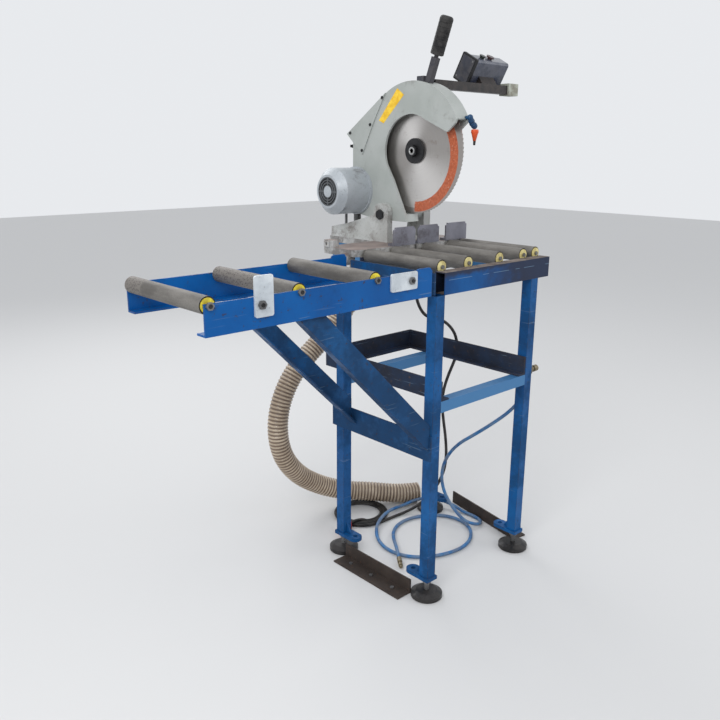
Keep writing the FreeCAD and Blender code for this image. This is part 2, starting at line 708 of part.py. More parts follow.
def head_casting():
    """Saw head: a blade guard, the neck down to the pivot and the motor seat, in one casting."""
    y, z = HUB
    left, width, wall = s.head_left, s.head_width, s.head_wall
    guard, bore, window = s.guard_radius, BORE, s.window_radius
    nose, crown, shoulder = guard_point(153.4), guard_point(90), guard_point(58.5)
    rear = [(y + 301, z + 55), (y + 272, z + 29), (y + 272, z - 70), (y + 330, z - 96),
            (y + 346, z - 120), (y + 346, z - 208), (y + 234, z - 216), (y + 150, z - 228)]
    chin = [(y + 9, z - 228), (y + 15, z - 203)]
    body = Body("head_casting")
    inner_low = guard_point(-81, bore)
    inner_rear = guard_point(20, bore)
    inner_nose = guard_point(153.4, bore)
    band = body.sketch("YZ_Plane", left)
    outline(band, [nose + (guard, 1), shoulder] + rear + chin +
            [inner_low + (bore, -1), inner_rear + (bore, -1), inner_nose])
    body.pad(band, width)
    cheek = body.sketch("YZ_Plane", left)
    outline(cheek, [nose + (guard, 1), shoulder] + rear + chin + [
        (y + 73, z - 94), guard_point(-24, window) + (window, -1),
        guard_point(90, window) + (window, -1), guard_point(122, window),
        (y - 156, z + 57), (y - 187, z + 83)])
    body.pad(cheek, wall)
    back = body.sketch("YZ_Plane", left + width - wall)
    outline(back, [nose + (guard, 1), shoulder] + rear + chin + [
        (y + 30, z - 120), (y - 44, z - 52), (y - 52, z + 30), (y - 156, z + 57), (y - 187, z + 83)])
    body.pad(back, wall)
    body.pad(circle(body.sketch("YZ_Plane", left + width - 18), y, z, s.bearing_radius + 8), 34)
    body.pad(circle(body.sketch("YZ_Plane", left + width - wall), s.pivot_y, s.pivot_z, 26),
             s.fork_right - s.ear_width - 1 - left - width + wall)
    body.pocket(circle(body.sketch("YZ_Plane", left + width - 18), y, z, s.bearing_radius), 34)
    body.pocket(circle(body.sketch("YZ_Plane", left - 1), s.pivot_y, s.pivot_z, s.pivot_radius + s.play),
                s.fork_right - left)
    body.pocket(circle(body.sketch("YZ_Plane", left - 1), s.motor_y, s.motor_z, 32), width + 2)
    node("head_casting", body.item)


def chute_plate():
    y, z = HUB
    body = Body("chute_plate")
    drawing = body.sketch("YZ_Plane", s.head_left - 4)
    outline(drawing, [(y + 113, z + 182), (y + 300, z + 55), (y + 222, z - 14), (y + 172, z + 83)])
    body.pad(drawing, 4)
    node("chute_plate", body.item)
    screws = []
    for across, up in ((126, 168), (182, 84), (222, 0), (282, 58)):
        screws.append(cylinder(s.head_left - 6.5, y + across, z + up, 5, 2.5, "x"))
    wing = fuse(cylinder(s.head_left + 20, y + 272, z + 14, 6, 26, "y"),
                box(s.head_left + 8, y + 290, z + 10, 24, 6, 9))
    node("head_screws", screws + [wing])


def spindle_set():
    y, z = HUB
    start, x = s.head_left + 8.4, s.blade_x
    half = s.kerf / 2
    shaft = cylinder(start, y, z, s.shaft_radius, s.pulley_left + s.pulley_width + 2 - start, "x")
    bore = cylinder(s.pulley_left, y, z, s.shaft_radius, s.pulley_width, "x")
    wheel = cut(cylinder(s.pulley_left, y, z, s.spindle_pulley, s.pulley_width, "x"), bore)
    node("spindle", [shaft, wheel])
    flanges = []
    for place_x in (x - half - s.flange_width, x + half):
        flanges.append(cut(cylinder(place_x, y, z, s.flange_radius, s.flange_width, "x"),
                           cylinder(place_x, y, z, s.shaft_radius, s.flange_width, "x")))
    nut = cut(hexagon(x - half - s.flange_width - 11, y, z, 19, 11, "x"),
              cylinder(x - half - s.flange_width - 11, y, z, s.shaft_radius, 11, "x"))
    node("blade_flanges", flanges + [nut])


def blade():
    """A steel disc with one gullet repeated round its rim."""
    y, z = HUB
    half = s.kerf / 2
    body = Body("saw_blade")
    disc = body.sketch("YZ_Plane", s.blade_x - half)
    circle(disc, 0, 0, s.blade_radius)
    circle(disc, 0, 0, s.shaft_radius)
    body.pad(disc, s.kerf)
    gullet = body.sketch("YZ_Plane", s.blade_x - half - 1)
    outline(gullet, [(-1, s.blade_radius - s.tooth_deep), (6, s.blade_radius + 1),
                     (2, s.blade_radius + 3), (-4, s.blade_radius + 2)])
    pocket = body.pocket(gullet, s.kerf + 2)
    pattern = body.item.newObject("PartDesign::PolarPattern", "Teeth")
    pattern.Originals = [pocket]
    pattern.Axis = (gullet, ["N_Axis"])
    pattern.Angle = 360
    bind(pattern, "Occurrences", s.tooth_count)
    body.item.Tip = pattern
    node("saw_blade", turned([body.item], 0, y, z, Vector(1, 0, 0), 0))


def bearing(x, y, z, outer, inner, width):
    return cut(cylinder(x, y, z, outer, width, "x"), cylinder(x, y, z, inner, width, "x"))


def bearings():
    y, z = HUB
    wide = s.bearing_width
    right = s.head_left + s.head_width
    reach = s.bearing_radius
    bore = s.shaft_radius + 0.05
    rings = [bearing(right - 17, y, z, reach, bore, wide), bearing(right + 2, y, z, reach, bore, wide)]
    rings.append(bearing(s.motor_left, s.motor_y, s.motor_z, s.motor_bore, s.motor_shaft + 0.05, 12))
    rings.append(bearing(s.head_left - 12, s.motor_y, s.motor_z, s.motor_bore, s.motor_shaft + 0.05, 12))
    node("bearings", rings)


def motor():
    y, z, outer = s.motor_y, s.motor_z, s.motor_radius
    start, end = s.motor_left, s.head_left
    shell = fuse(cylinder(start, y, z, outer, end - start, "x"), cylinder(end - 10, y, z, outer + 3, 10, "x"))
    hollow = cylinder(start + 12, y, z, outer - 12, end - start - 24, "x")
    shell = cut(shell, hollow, cylinder(start - 1, y, z, s.motor_bore, end - start + 2, "x"))
    stator = cut(cylinder(start + 20, y, z, outer - 12, 66, "x"), cylinder(start + 20, y, z, 46, 66, "x"))
    node("motor_housing", [shell, stator])

    cowl_width = start - s.cowl_left
    cowl = cone(s.cowl_left, y, z, s.grille_radius + 9, outer, cowl_width, "x")
    hollow = cone(s.cowl_left + 4, y, z, s.grille_radius + 4, outer - 4, cowl_width - 4, "x")
    slots = []
    for radius in (22, 31, 40):
        slots.append(cut(cylinder(s.cowl_left - 1, y, z, radius + 4.5, 6, "x"),
                         cylinder(s.cowl_left - 1, y, z, radius, 6, "x")))
    spokes = group([box(s.cowl_left - 1, y - 3, z - 50, 7, 6, 100), box(s.cowl_left - 1, y - 50, z - 3, 7, 100, 6)])
    node("fan_cowl", cut(cowl, hollow, cut(group(slots), spokes)))

    shaft = cylinder(s.cowl_left + 8, y, z, s.motor_shaft, s.pulley_left + s.pulley_width + 2 - s.cowl_left - 8, "x")
    core = cut(cylinder(start + 22, y, z, 45, 62, "x"), cylinder(start + 22, y, z, s.motor_shaft, 62, "x"))
    fan = cut(cylinder(s.cowl_left + 9, y, z, 44, 8, "x"), cylinder(s.cowl_left + 9, y, z, s.motor_shaft, 8, "x"))
    wheel = cut(cylinder(s.pulley_left, y, z, s.motor_pulley, s.pulley_width, "x"),
                cylinder(s.pulley_left, y, z, s.motor_shaft, s.pulley_width, "x"))
    node("motor_rotor", [shaft, core, fan, wheel])


def loop_face(extra):
    """The face inside a belt line drawn a given distance outside both pulleys."""
    ya, za, ra = s.hub_y.value, s.hub_z.value, s.spindle_pulley.value + extra
    yb, zb, rb = s.motor_y.value, s.motor_z.value, s.motor_pulley.value + extra
    span = math.hypot(yb - ya, zb - za)
    heading = math.atan2(zb - za, yb - ya)
    spread = math.acos((ra - rb) / span)

    def on_circle(cy, cz, radius, angle):
        return Vector(0, cy + radius * math.cos(angle), cz + radius * math.sin(angle))

    a_top = on_circle(ya, za, ra, heading + spread)
    a_back = on_circle(ya, za, ra, heading + math.pi)
    a_low = on_circle(ya, za, ra, heading - spread)
    b_low = on_circle(yb, zb, rb, heading - spread)
    b_front = on_circle(yb, zb, rb, heading)
    b_top = on_circle(yb, zb, rb, heading + spread)
    edges = [Part.Arc(a_top, a_back, a_low).toShape(), Part.LineSegment(a_low, b_low).toShape(),
             Part.Arc(b_low, b_front, b_top).toShape(), Part.LineSegment(b_top, a_top).toShape()]
    return Part.Face(Part.Wire(edges))


def loop_solid(extra, start, width):
    face = loop_face(extra)
    face.translate(Vector(start, 0, 0))
    return face.extrude(Vector(width, 0, 0))


def shape_node(label, shape):
    item = doc.addObject("Part::Feature", f"{label}_shape")
    item.Shape = shape
    return node(label, item)


def belt_drive():
    free, belt, gap, wall = s.free.value, s.belt.value, s.cover_gap.value, s.cover_wall.value
    start, width = s.pulley_left.value, s.pulley_width.value
    belt_width = width - 6
    ring = loop_solid(free + belt, start + 3, belt_width).cut(loop_solid(free, start + 3, belt_width))
    shape_node("drive_belt", ring)
    face = s.head_left.value + s.head_width.value
    depth = start + width + 8 - face
    shell = loop_solid(belt + gap + wall, face, depth + wall).cut(loop_solid(belt + gap, face, depth))
    shape_node("belt_cover", shell)


def nozzle():
    """A jointed coolant nozzle hanging from the nose of the guard."""
    y, z = HUB
    low = z + 65
    segments = [cylinder(x, y + across, low + up, 10, 15.5)
                for x, across, up in ((308, -202, 29), (317, -207, 14.5), (327, -209, 0))]
    root = cut(cylinder(308, y - 202, z + 103, 6, 14, "y"), guard_drum())
    node("nozzle_joints", fuse(*segments, root))
    node("nozzle_tip", fuse(cone(328, y - 210, low, 12, 5, 33, "down"), cylinder(328, y - 210, low - 33, 3.5, 14, "down")))


def arm_and_box():
    side, y, z = s.arm_side, s.arm_y, s.arm_z
    right = s.head_left + s.head_width
    arm = hollow_bar(right, y, z, s.arm_end - right, side, side, "x")
    wedge = Body("box_saddle")
    slope = ratio(math.tan, s.box_turn)
    top = z + side
    half = s.box_deep / 2 - 4
    face = s.box_y - half / ratio(math.cos, s.box_turn) + (s.box_z - top) * slope
    wedge.pad(outline(wedge.sketch("YZ_Plane", 560), [
        (y + 4, top), (face, top), (face - 24 * slope, top + 24)]), 80)
    node("switch_arm", [arm, wedge.item])
    node("arm_end_block", cut(box(s.arm_end, y - 6, z - 4, s.end_block, side + 12, side + 12),
                              cylinder(s.arm_end + s.end_block / 2, y + side / 2, z - 4, 6, side + 12)))

    rise, deep, length, wall = s.box_rise, s.box_deep, s.box_length, s.box_wall
    body = Body("switch_shell")
    corner = 10
    inner = 7

    def rounded(drawing, half_deep, half_rise, radius):
        return outline(drawing, [
            (-half_deep + radius, -half_rise), (half_deep - radius, -half_rise, radius, -1),
            (half_deep, -half_rise + radius), (half_deep, half_rise - radius, radius, -1),
            (half_deep - radius, half_rise), (-half_deep + radius, half_rise, radius, -1),
            (-half_deep, half_rise - radius), (-half_deep, -half_rise + radius, radius, -1)])

    rounded(body_sketch := body.sketch("YZ_Plane", 10), deep / 2 - 4, rise / 2 - 4, corner)
    body.pad(body_sketch, length - 10)
    hollow = rounded(body.sketch("YZ_Plane", 10), deep / 2 - 4 - wall, rise / 2 - 4 - wall, inner)
    body.pocket(hollow, length - 10 - wall)
    for x in (62, 104):
        hole = circle(body.sketch("XY_Plane", 0), x, 0, s.button_radius - 3 + 0.08)
        body.pocket(hole, rise)
    flange = Body("switch_flange")
    rounded(flange_sketch := flange.sketch("YZ_Plane", 0), deep / 2, rise / 2, 4)
    flange.pad(flange_sketch, 10)
    tilt = Vector(1, 0, 0)
    node("switch_box", turned([body.item], s.box_left, s.box_y, s.box_z, tilt, s.box_turn))
    node("switch_flange", turned([flange.item], s.box_left, s.box_y, s.box_z, tilt, s.box_turn))
    top_face = rise / 2 - 4
    for name, x, radius in (("start_button", 62, s.button_radius), ("stop_button", 104, s.button_radius + 3)):
        cap = cylinder(x, 0, top_face + 4.5, radius, s.button_rise - 4.5)
        stem = cylinder(x, 0, top_face - 12, s.button_radius - 3, 12 + 4.5)
        node(name, turned([fuse(cap, stem)], s.box_left, s.box_y, s.box_z, tilt, s.box_turn))


def handle():
    foot_y, foot_z = s.hub_y - 56, s.hub_z + s.guard_radius - 12
    x = s.head_left + 20
    half = s.bar_side / 2
    bar = box(-half, -half, 4, s.bar_side, s.bar_side, s.bar_length)
    neck = cylinder(0, 0, 4 + s.bar_length, 7, 8)
    tilt = Vector(1, 0, 0)
    seat = box(x - 16, foot_y + 8, foot_z + 2, 46, 28, 22)
    upright = cut(turned([fuse(bar, neck)], x, foot_y, foot_z, tilt, s.lean), guard_drum())
    node("handle_bar", fuse(upright, cut(seat, guard_drum())))
    grip_start = 12 + s.bar_length
    grip = fuse(cylinder(0, 0, grip_start, s.grip_radius, s.grip_length - 6),
                cone(0, 0, grip_start + s.grip_length - 6, s.grip_radius, s.grip_radius - 4, 6))
    node("handle_grip", turned([grip], x, foot_y, foot_z, tilt, s.lean))


def guard_drum():
    return cylinder(s.head_left - 10, s.hub_y, s.hub_z, s.guard_radius + s.play, s.head_width + 20, "x")


# ---------------------------------------------------------------- hoses and cable

HOSE_ROUTE = [
    (320, 665, 1001), (320, 665, 945), (308, 670, 882), (278, 676, 816), (228, 686, 750), (164, 695, 690),
    (96, 701, 638), (32, 704, 582), (-16, 704, 512), (-43, 703, 434), (-46, 703, 354), (-26, 705, 278),
    (16, 708, 212), (72, 710, 156), (136, 702, 112), (200, 682, 80), (260, 648, 63), (320, 604, 57.5),
    (376, 560, 48), (432, 524, 40), (488, 498, 38.4)]
AIR_ROUTE = [
    (508, 20, 640), (508, 20, 600), (503, 36, 552), (482, 70, 496), (448, 114, 448), (430, 178, 392),
    (424, 250, 335), (426, 304, 264), (432, 328, 190), (440, 324, 130), (448, 300, 82), (454, 264, 46),
    (455, 223.5, 27), (470.5, 199.5, 19), (496, 190.8, 11.5), (522, 199.5, 7.5), (538.5, 223, 7),
    (541, 262, 7), (537, 304, 9), (528, 347, 24), (514, 392, 32), (494, 436, 32), (452, 470, 27),
    (402, 484, 15), (352, 487, 16), (304, 478, 22), (254, 462, 22), (200, 434, 17), (156, 390, 8),
    (127, 336, 7), (117, 278, 7), (130, 224, 7), (164, 180, 7), (214, 149, 7), (270, 130, 7), (328, 126, 7),
    (384, 140, 7), (432, 172, 7), (464, 212, 7), (478, 260, 7), (470, 310, 7), (442, 352, 7), (394, 386, 7),
    (336, 404, 7), (276, 399, 7), (222, 370, 8), (180, 326, 14), (149, 286, 21), (122, 250, 21), (96, 216, 16)]
CABLE_ROUTE = [
    (318, 372, 1030), (318, 372, 980), (314, 374, 926), (320, 376, 868), (343, 371, 820), (382, 375, 792),
    (426, 374, 782), (462, 360, 766), (480, 334, 734), (482, 318, 694), (478, 314, 652), (474, 328, 610),
    (473, 348, 562), (473, 366, 508), (472, 372, 450), (471, 360, 385), (471, 346, 320), (470, 338, 255),
    (465, 340, 195), (455, 354, 145), (442, 374, 98), (425, 402, 56), (402, 428, 25), (370, 446, 9),
    (330, 453, 6), (288, 455, 6), (246, 455.8, 6)]


def tube_along(name, points, radius):
    """A tube on straight runs joined by tangent arcs, each as large as its two runs allow."""
    corners = [Vector(*point) for point in points]
    edges, length, radii = [], 0.0, []
    last = corners[0]
    for before, corner, after in zip(corners, corners[1:], corners[2:]):
        towards = (corner - before).normalize()
        onwards = (after - corner).normalize()
        turn = towards.getAngle(onwards)
        reach = 0.45 * min((corner - before).Length, (after - corner).Length)
        bend = reach / math.tan(turn / 2)
        radii.append(bend)
        start, end = corner - towards * reach, corner + onwards * reach
        away = (onwards - towards).normalize()
        centre = corner + away * (bend / math.cos(turn / 2))
        halfway = centre - away * bend
        edges.append(Part.LineSegment(last, start).toShape())
        edges.append(Part.Arc(start, halfway, end).toShape())
        length += (start - last).Length + bend * turn
        last = end
    edges.append(Part.LineSegment(last, corners[-1]).toShape())
    length += (corners[-1] - last).Length
    path = Part.Wire(edges)
    ring = Part.Wire(Part.Circle(corners[0], (corners[1] - corners[0]).normalize(), radius).toShape())
    tube = path.makePipeShell([ring], True, False)
    expected = math.pi * radius * radius * length
    print(f"{name}: length {length:.0f}, bends {min(radii):.0f} to {max(radii):.0f} mm,"
          f" least over diameter {min(radii) / (2 * radius):.1f}, volume ratio {tube.Volume / expected:.4f}")
    return tube


def hoses():
    outlet = fuse(cylinder(320, 665, 1001, s.hose_radius - 4, TABLE_LOW - 1001),
                  cylinder(320, 665, TABLE_LOW - 4, s.hose_radius + 4, 4))
    node("dust_outlet", cut(outlet, cylinder(320, 665, 1000, s.hose_radius - 7, TABLE_LOW - 999)))
    shape_node("suction_hose", tube_along("suction_hose", HOSE_ROUTE, s.hose_radius.value))

    fitting = fuse(cylinder(s.stand_width, 20, 652, 8, 36, "x"), cylinder(508, 20, 640, 9, 24),
                   cylinder(s.stand_width, 20, 652, 13, 5, "x"),
                   cylinder(s.stand_width + 36, 20, 652, 11, 18, "x"))
    node("air_fitting", fitting)
    shape_node("air_hose", tube_along("air_hose", AIR_ROUTE, s.air_radius.value))
    start, before = Vector(*AIR_ROUTE[-1]), Vector(*AIR_ROUTE[-2])
    heading = (start - before).normalize()
    body = Part.makeCylinder(8, 24, start, heading)
    nose = Part.makeCylinder(5.5, 26, start + heading * 24, heading)
    collar = Part.makeCylinder(7.5, 8, start + heading * 34, heading)
    shape_node("air_coupling", body.fuse([nose, collar]).removeSplitter())

    node("cable_gland", fuse(cylinder(318, 372, 1030, 9, TABLE_LOW - 1030), hexagon(318, 372, 1032, 13, 6)))
    coil = Part.makeCylinder(s.coil_radius.value, s.coil_rise.value, Vector(s.coil_x.value, s.coil_y.value, 0))
    hole = Part.makeCylinder(s.coil_radius.value - s.coil_band.value, s.coil_rise.value,
                             Vector(s.coil_x.value, s.coil_y.value, 0))
    cable = tube_along("power_cable", CABLE_ROUTE, s.cable_radius.value)
    shape_node("power_cable", cable.cut(coil))
    shape_node("cable_coil", coil.cut(hole))
    plug()


def plug():
    """A round five-pin industrial plug lying beside the coil."""
    centre = Vector(91, 484, 23)
    heading = Vector(0.664, 0.748, 0).normalize()
    tail = centre + heading * 42
    body = Part.makeCylinder(22, 52, centre - heading * 10, heading)
    front = Part.makeCylinder(19, 34, centre - heading * 44, heading)
    coil_centre = Vector(s.coil_x.value, s.coil_y.value, 23)
    reach = (coil_centre - tail).Length - s.coil_radius.value
    onwards = (coil_centre - tail).normalize()
    boot = Part.makeCone(9, 6.5, reach + 2, tail - onwards * 1, onwards)
    boot.translate(Vector(0, 0, -8))
    shell = body.fuse([front, boot])
    coil = Part.makeCylinder(s.coil_radius.value, 60, Vector(s.coil_x.value, s.coil_y.value, 0))
    shape_node("cable_plug", shell.cut(coil).removeSplitter())


# ---------------------------------------------------------------- assembly

legs()
feet()
node("side_plates", [cross_tubes(), side_plate()])
table_rails()
left_bolt, left_hole = stop_plate("stop_plate_left", -600, 67, 29, 18, 34)
right_bolt, right_hole = stop_plate("stop_plate_right", -110, 24, 24, 76, 24)
node("infeed_rails", [infeed_rail(as_size(0), 1, (left_hole, right_hole)), infeed_rail(s.infeed_depth, -1)])
braces()
shelf_tray()
floor_heads = floor_angles()
rollers()
fence_bolts, fence_holes = fences()
saw_table(fence_holes)
node("frame_bolts", left_bolt + right_bolt + fence_bolts + floor_heads)
fork()
pivot_shaft()
head_stops()
head_casting()
chute_plate()
spindle_set()
blade()
bearings()
motor()
belt_drive()
nozzle()
arm_and_box()
handle()
hoses()

doc.recompute()
for item in doc.Objects:
    if "Invalid" in item.State or "Error" in item.State:
        raise ValueError(f"{item.Label} did not recompute: {item.State}")
for item in nodes:
    if item.Shape.isNull() or not item.Shape.isValid() or not item.Shape.Solids:
        raise ValueError(f"{item.Label} has no valid solid")
print(len(nodes), "nodes")
for item in nodes:
    item.Shape.exportStep(f"parts/{item.Label}.step")
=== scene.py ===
"""Cut-off saw on a welded stand.

The camera, the three cords, a finish for every CAD node, the small pieces on the saw head and the
stand, and the floor and lamps.
"""

import math

import bpy
import bmesh
from mathutils import Matrix, Vector


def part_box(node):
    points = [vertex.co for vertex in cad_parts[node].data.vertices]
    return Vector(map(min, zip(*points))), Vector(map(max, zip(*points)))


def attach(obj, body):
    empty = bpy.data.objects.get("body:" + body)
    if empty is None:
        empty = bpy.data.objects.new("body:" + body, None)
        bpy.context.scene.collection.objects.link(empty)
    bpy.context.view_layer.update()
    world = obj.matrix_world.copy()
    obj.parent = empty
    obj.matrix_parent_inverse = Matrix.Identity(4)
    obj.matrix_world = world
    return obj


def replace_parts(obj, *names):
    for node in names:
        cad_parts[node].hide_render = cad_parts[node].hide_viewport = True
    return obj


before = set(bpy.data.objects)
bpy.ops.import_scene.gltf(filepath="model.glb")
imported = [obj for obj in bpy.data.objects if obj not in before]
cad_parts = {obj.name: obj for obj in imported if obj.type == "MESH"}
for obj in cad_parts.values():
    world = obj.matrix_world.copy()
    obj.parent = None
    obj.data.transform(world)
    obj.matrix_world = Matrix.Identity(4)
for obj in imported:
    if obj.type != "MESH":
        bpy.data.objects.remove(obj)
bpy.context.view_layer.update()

# The stand's own corner: places written from the left front leg, in metres, become row places.
STAND_CORNER = Vector((0.0025, -0.35125, 0.0))


def at(x, y, z):
    """A place given from the stand's left front corner, in metres."""
    return Vector((x, y, z)) + STAND_CORNER


# ---------------------------------------------------------------- camera

CAMERA_PLACE = (-1.57361, -1.73611, 1.37051)
CAMERA_HEADING = 42.84
CAMERA_DROP = 15.72
CAMERA_ROLL = 0.332
CAMERA_LENS = 37.793
SENSOR_WIDTH = 36.0
NEAREST_SEEN = 0.05
FARTHEST_SEEN = 60.0


def make_camera():
    """The camera stands in front of the infeed's free end, above the table, and looks at the saw."""
    camera = bpy.data.objects.new("camera", bpy.data.cameras.new("camera"))
    bpy.context.scene.collection.objects.link(camera)
    camera.data.lens = CAMERA_LENS
    camera.data.sensor_width = SENSOR_WIDTH
    camera.data.clip_start = NEAREST_SEEN
    camera.data.clip_end = FARTHEST_SEEN
    turn = Matrix.Rotation(math.radians(-CAMERA_HEADING), 4, "Z")
    tilt = Matrix.Rotation(math.radians(90.0 - CAMERA_DROP), 4, "X")
    roll = Matrix.Rotation(math.radians(CAMERA_ROLL), 4, "Z")
    camera.matrix_world = Matrix.Translation(CAMERA_PLACE) @ turn @ tilt @ roll
    bpy.context.scene.camera = camera


# ---------------------------------------------------------------- mesh helpers

CURVE_STEPS = 12
CURVE_SECTION_STEPS = 5


def piece(name, mesh, material, body, smooth=True):
    """A finished mesh piece that rides on a body and takes the finish it is given."""
    made = bpy.data.objects.new(name, mesh)
    bpy.context.scene.collection.objects.link(made)
    made.data.materials.append(material)
    if smooth:
        for face in made.data.polygons:
            face.use_smooth = True
    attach(made, body)
    return made


def route_curve(name, points, radius):
    """A NURBS curve whose control points are the route, with a round section of this radius."""
    curve = bpy.data.curves.new(name, "CURVE")
    curve.dimensions = "3D"
    curve.resolution_u = CURVE_STEPS
    spline = curve.splines.new("NURBS")
    spline.points.add(len(points) - 1)
    for point, place in zip(spline.points, points):
        point.co = (*place, 1.0)
    spline.order_u = 3
    spline.use_endpoint_u = True
    curve.bevel_depth = radius
    curve.bevel_resolution = CURVE_SECTION_STEPS
    curve.use_fill_caps = True
    made = bpy.data.objects.new(name, curve)
    bpy.context.scene.collection.objects.link(made)
    return made


def curve_line(points):
    """The points along a route's spline, read from the curve with no section."""
    made = route_curve("line", points, 0.0)
    bpy.context.view_layer.update()
    mesh = bpy.data.meshes.new_from_object(made)
    line = [vertex.co.copy() for vertex in mesh.vertices]
    bpy.data.objects.remove(made)
    bpy.data.meshes.remove(mesh)
    return line


def line_length(line):
    return sum((b - a).length for a, b in zip(line, line[1:]))


def even_steps(line, step):
    """The line again with points this far apart."""
    count = max(2, round(line_length(line) / step))
    gap = line_length(line) / count
    made = [line[0].copy()]
    carried = 0.0
    for a, b in zip(line, line[1:]):
        run = (b - a).length
        while run > 0 and carried + run >= gap * len(made) - 1e-9 and len(made) < count:
            made.append(a.lerp(b, (gap * len(made) - carried) / run))
        carried += run
    made.append(line[-1].copy())
    return made


def frames_along(line):
    """Two across directions at each point of a line, carried along it without twist."""
    frames = []
    across = None
    for index in range(len(line)):
        ahead = line[min(index + 1, len(line) - 1)]
        behind = line[max(index - 1, 0)]
        along = (ahead - behind).normalized()
        if across is None:
            across = along.orthogonal().normalized()
        across = (across - along * across.dot(along)).normalized()
        frames.append((across.copy(), along.cross(across)))
    return frames


def finished_mesh(name, shape):
    """The mesh of a shape that is fully drawn."""
    made = bpy.data.meshes.new(name)
    shape.to_mesh(made)
    shape.free()
    return made


def ring_points(shape, centre, across, up, radius, sides):
    """A ring of points round a centre, in the plane of two directions."""
    turns = [math.tau * n / sides for n in range(sides)]
    return [shape.verts.new(centre + (across * math.cos(turn) + up * math.sin(turn)) * radius)
            for turn in turns]


def join_rings(shape, low, high):
    """Faces between two rings with as many points; a ring of one point gets a fan."""
    count = max(len(low), len(high))
    for n in range(count):
        after = (n + 1) % count
        if len(low) == 1:
            corners = (low[0], high[after], high[n])
        elif len(high) == 1:
            corners = (low[n], low[after], high[0])
        else:
            corners = (low[n], low[after], high[after], high[n])
        shape.faces.new(corners)


def swept_tube(line, radii, sides, bore):
    """A tube mesh along a line, with an outer radius for each point, an even bore and open ends."""
    shape = bmesh.new()
    frames = frames_along(line)

    def wall(sizes):
        rings = [ring_points(shape, point, across, up, size, sides)
                 for point, (across, up), size in zip(line, frames, sizes)]
        for low, high in zip(rings, rings[1:]):
            join_rings(shape, low, high)
        return rings

    outside = wall(radii)
    inside = wall([bore] * len(line))
    for end in (0, -1):
        join_rings(shape, outside[end], inside[end])
    bmesh.ops.recalc_face_normals(shape, faces=shape.faces)
    return finished_mesh("tube", shape)


def lathe(name, profile, base, along, sides=48):
    """A turned mesh: profile is (distance along, radius) pairs; a radius of 0 closes an end."""
    along = Vector(along).normalized()
    across = along.orthogonal().normalized()
    up = along.cross(across)
    shape = bmesh.new()
    rings = []
    for distance, radius in profile:
        centre = Vector(base) + along * distance
        if radius > 0.0:
            rings.append(ring_points(shape, centre, across, up, radius, sides))
        else:
            rings.append([shape.verts.new(centre)])
    for low, high in zip(rings, rings[1:]):
        join_rings(shape, low, high)
    bmesh.ops.recalc_face_normals(shape, faces=shape.faces)
    return finished_mesh(name, shape)


def rounded_slab(name, low, high, bevel, steps=3):
    """A block between two corners with rounded edges."""
    shape = bmesh.new()
    bmesh.ops.create_cube(shape, size=1.0)
    low, high = Vector(low), Vector(high)
    size, centre = high - low, (high + low) / 2
    for vertex in shape.verts:
        vertex.co = Vector([vertex.co[n] * size[n] + centre[n] for n in range(3)])
    bmesh.ops.bevel(shape, geom=shape.edges[:], offset=bevel, segments=steps, affect="EDGES", profile=0.5)
    return finished_mesh(name, shape)


def plate(name, outline, normal, thick):
    """A flat plate from an outline in the row frame, raised along its normal."""
    shape = bmesh.new()
    low = [shape.verts.new(Vector(point)) for point in outline]
    high = [shape.verts.new(Vector(point) + Vector(normal) * thick) for point in outline]
    shape.faces.new(reversed(low))
    shape.faces.new(high)
    join_rings(shape, low, high)
    bmesh.ops.recalc_face_normals(shape, faces=shape.faces)
    return finished_mesh(name, shape)


# ---------------------------------------------------------------- shader wiring

# The colour mix node's sockets.
MIX_AMOUNT = 0
MIX_FIRST = 6
MIX_SECOND = 7
MIX_COLOUR = 2


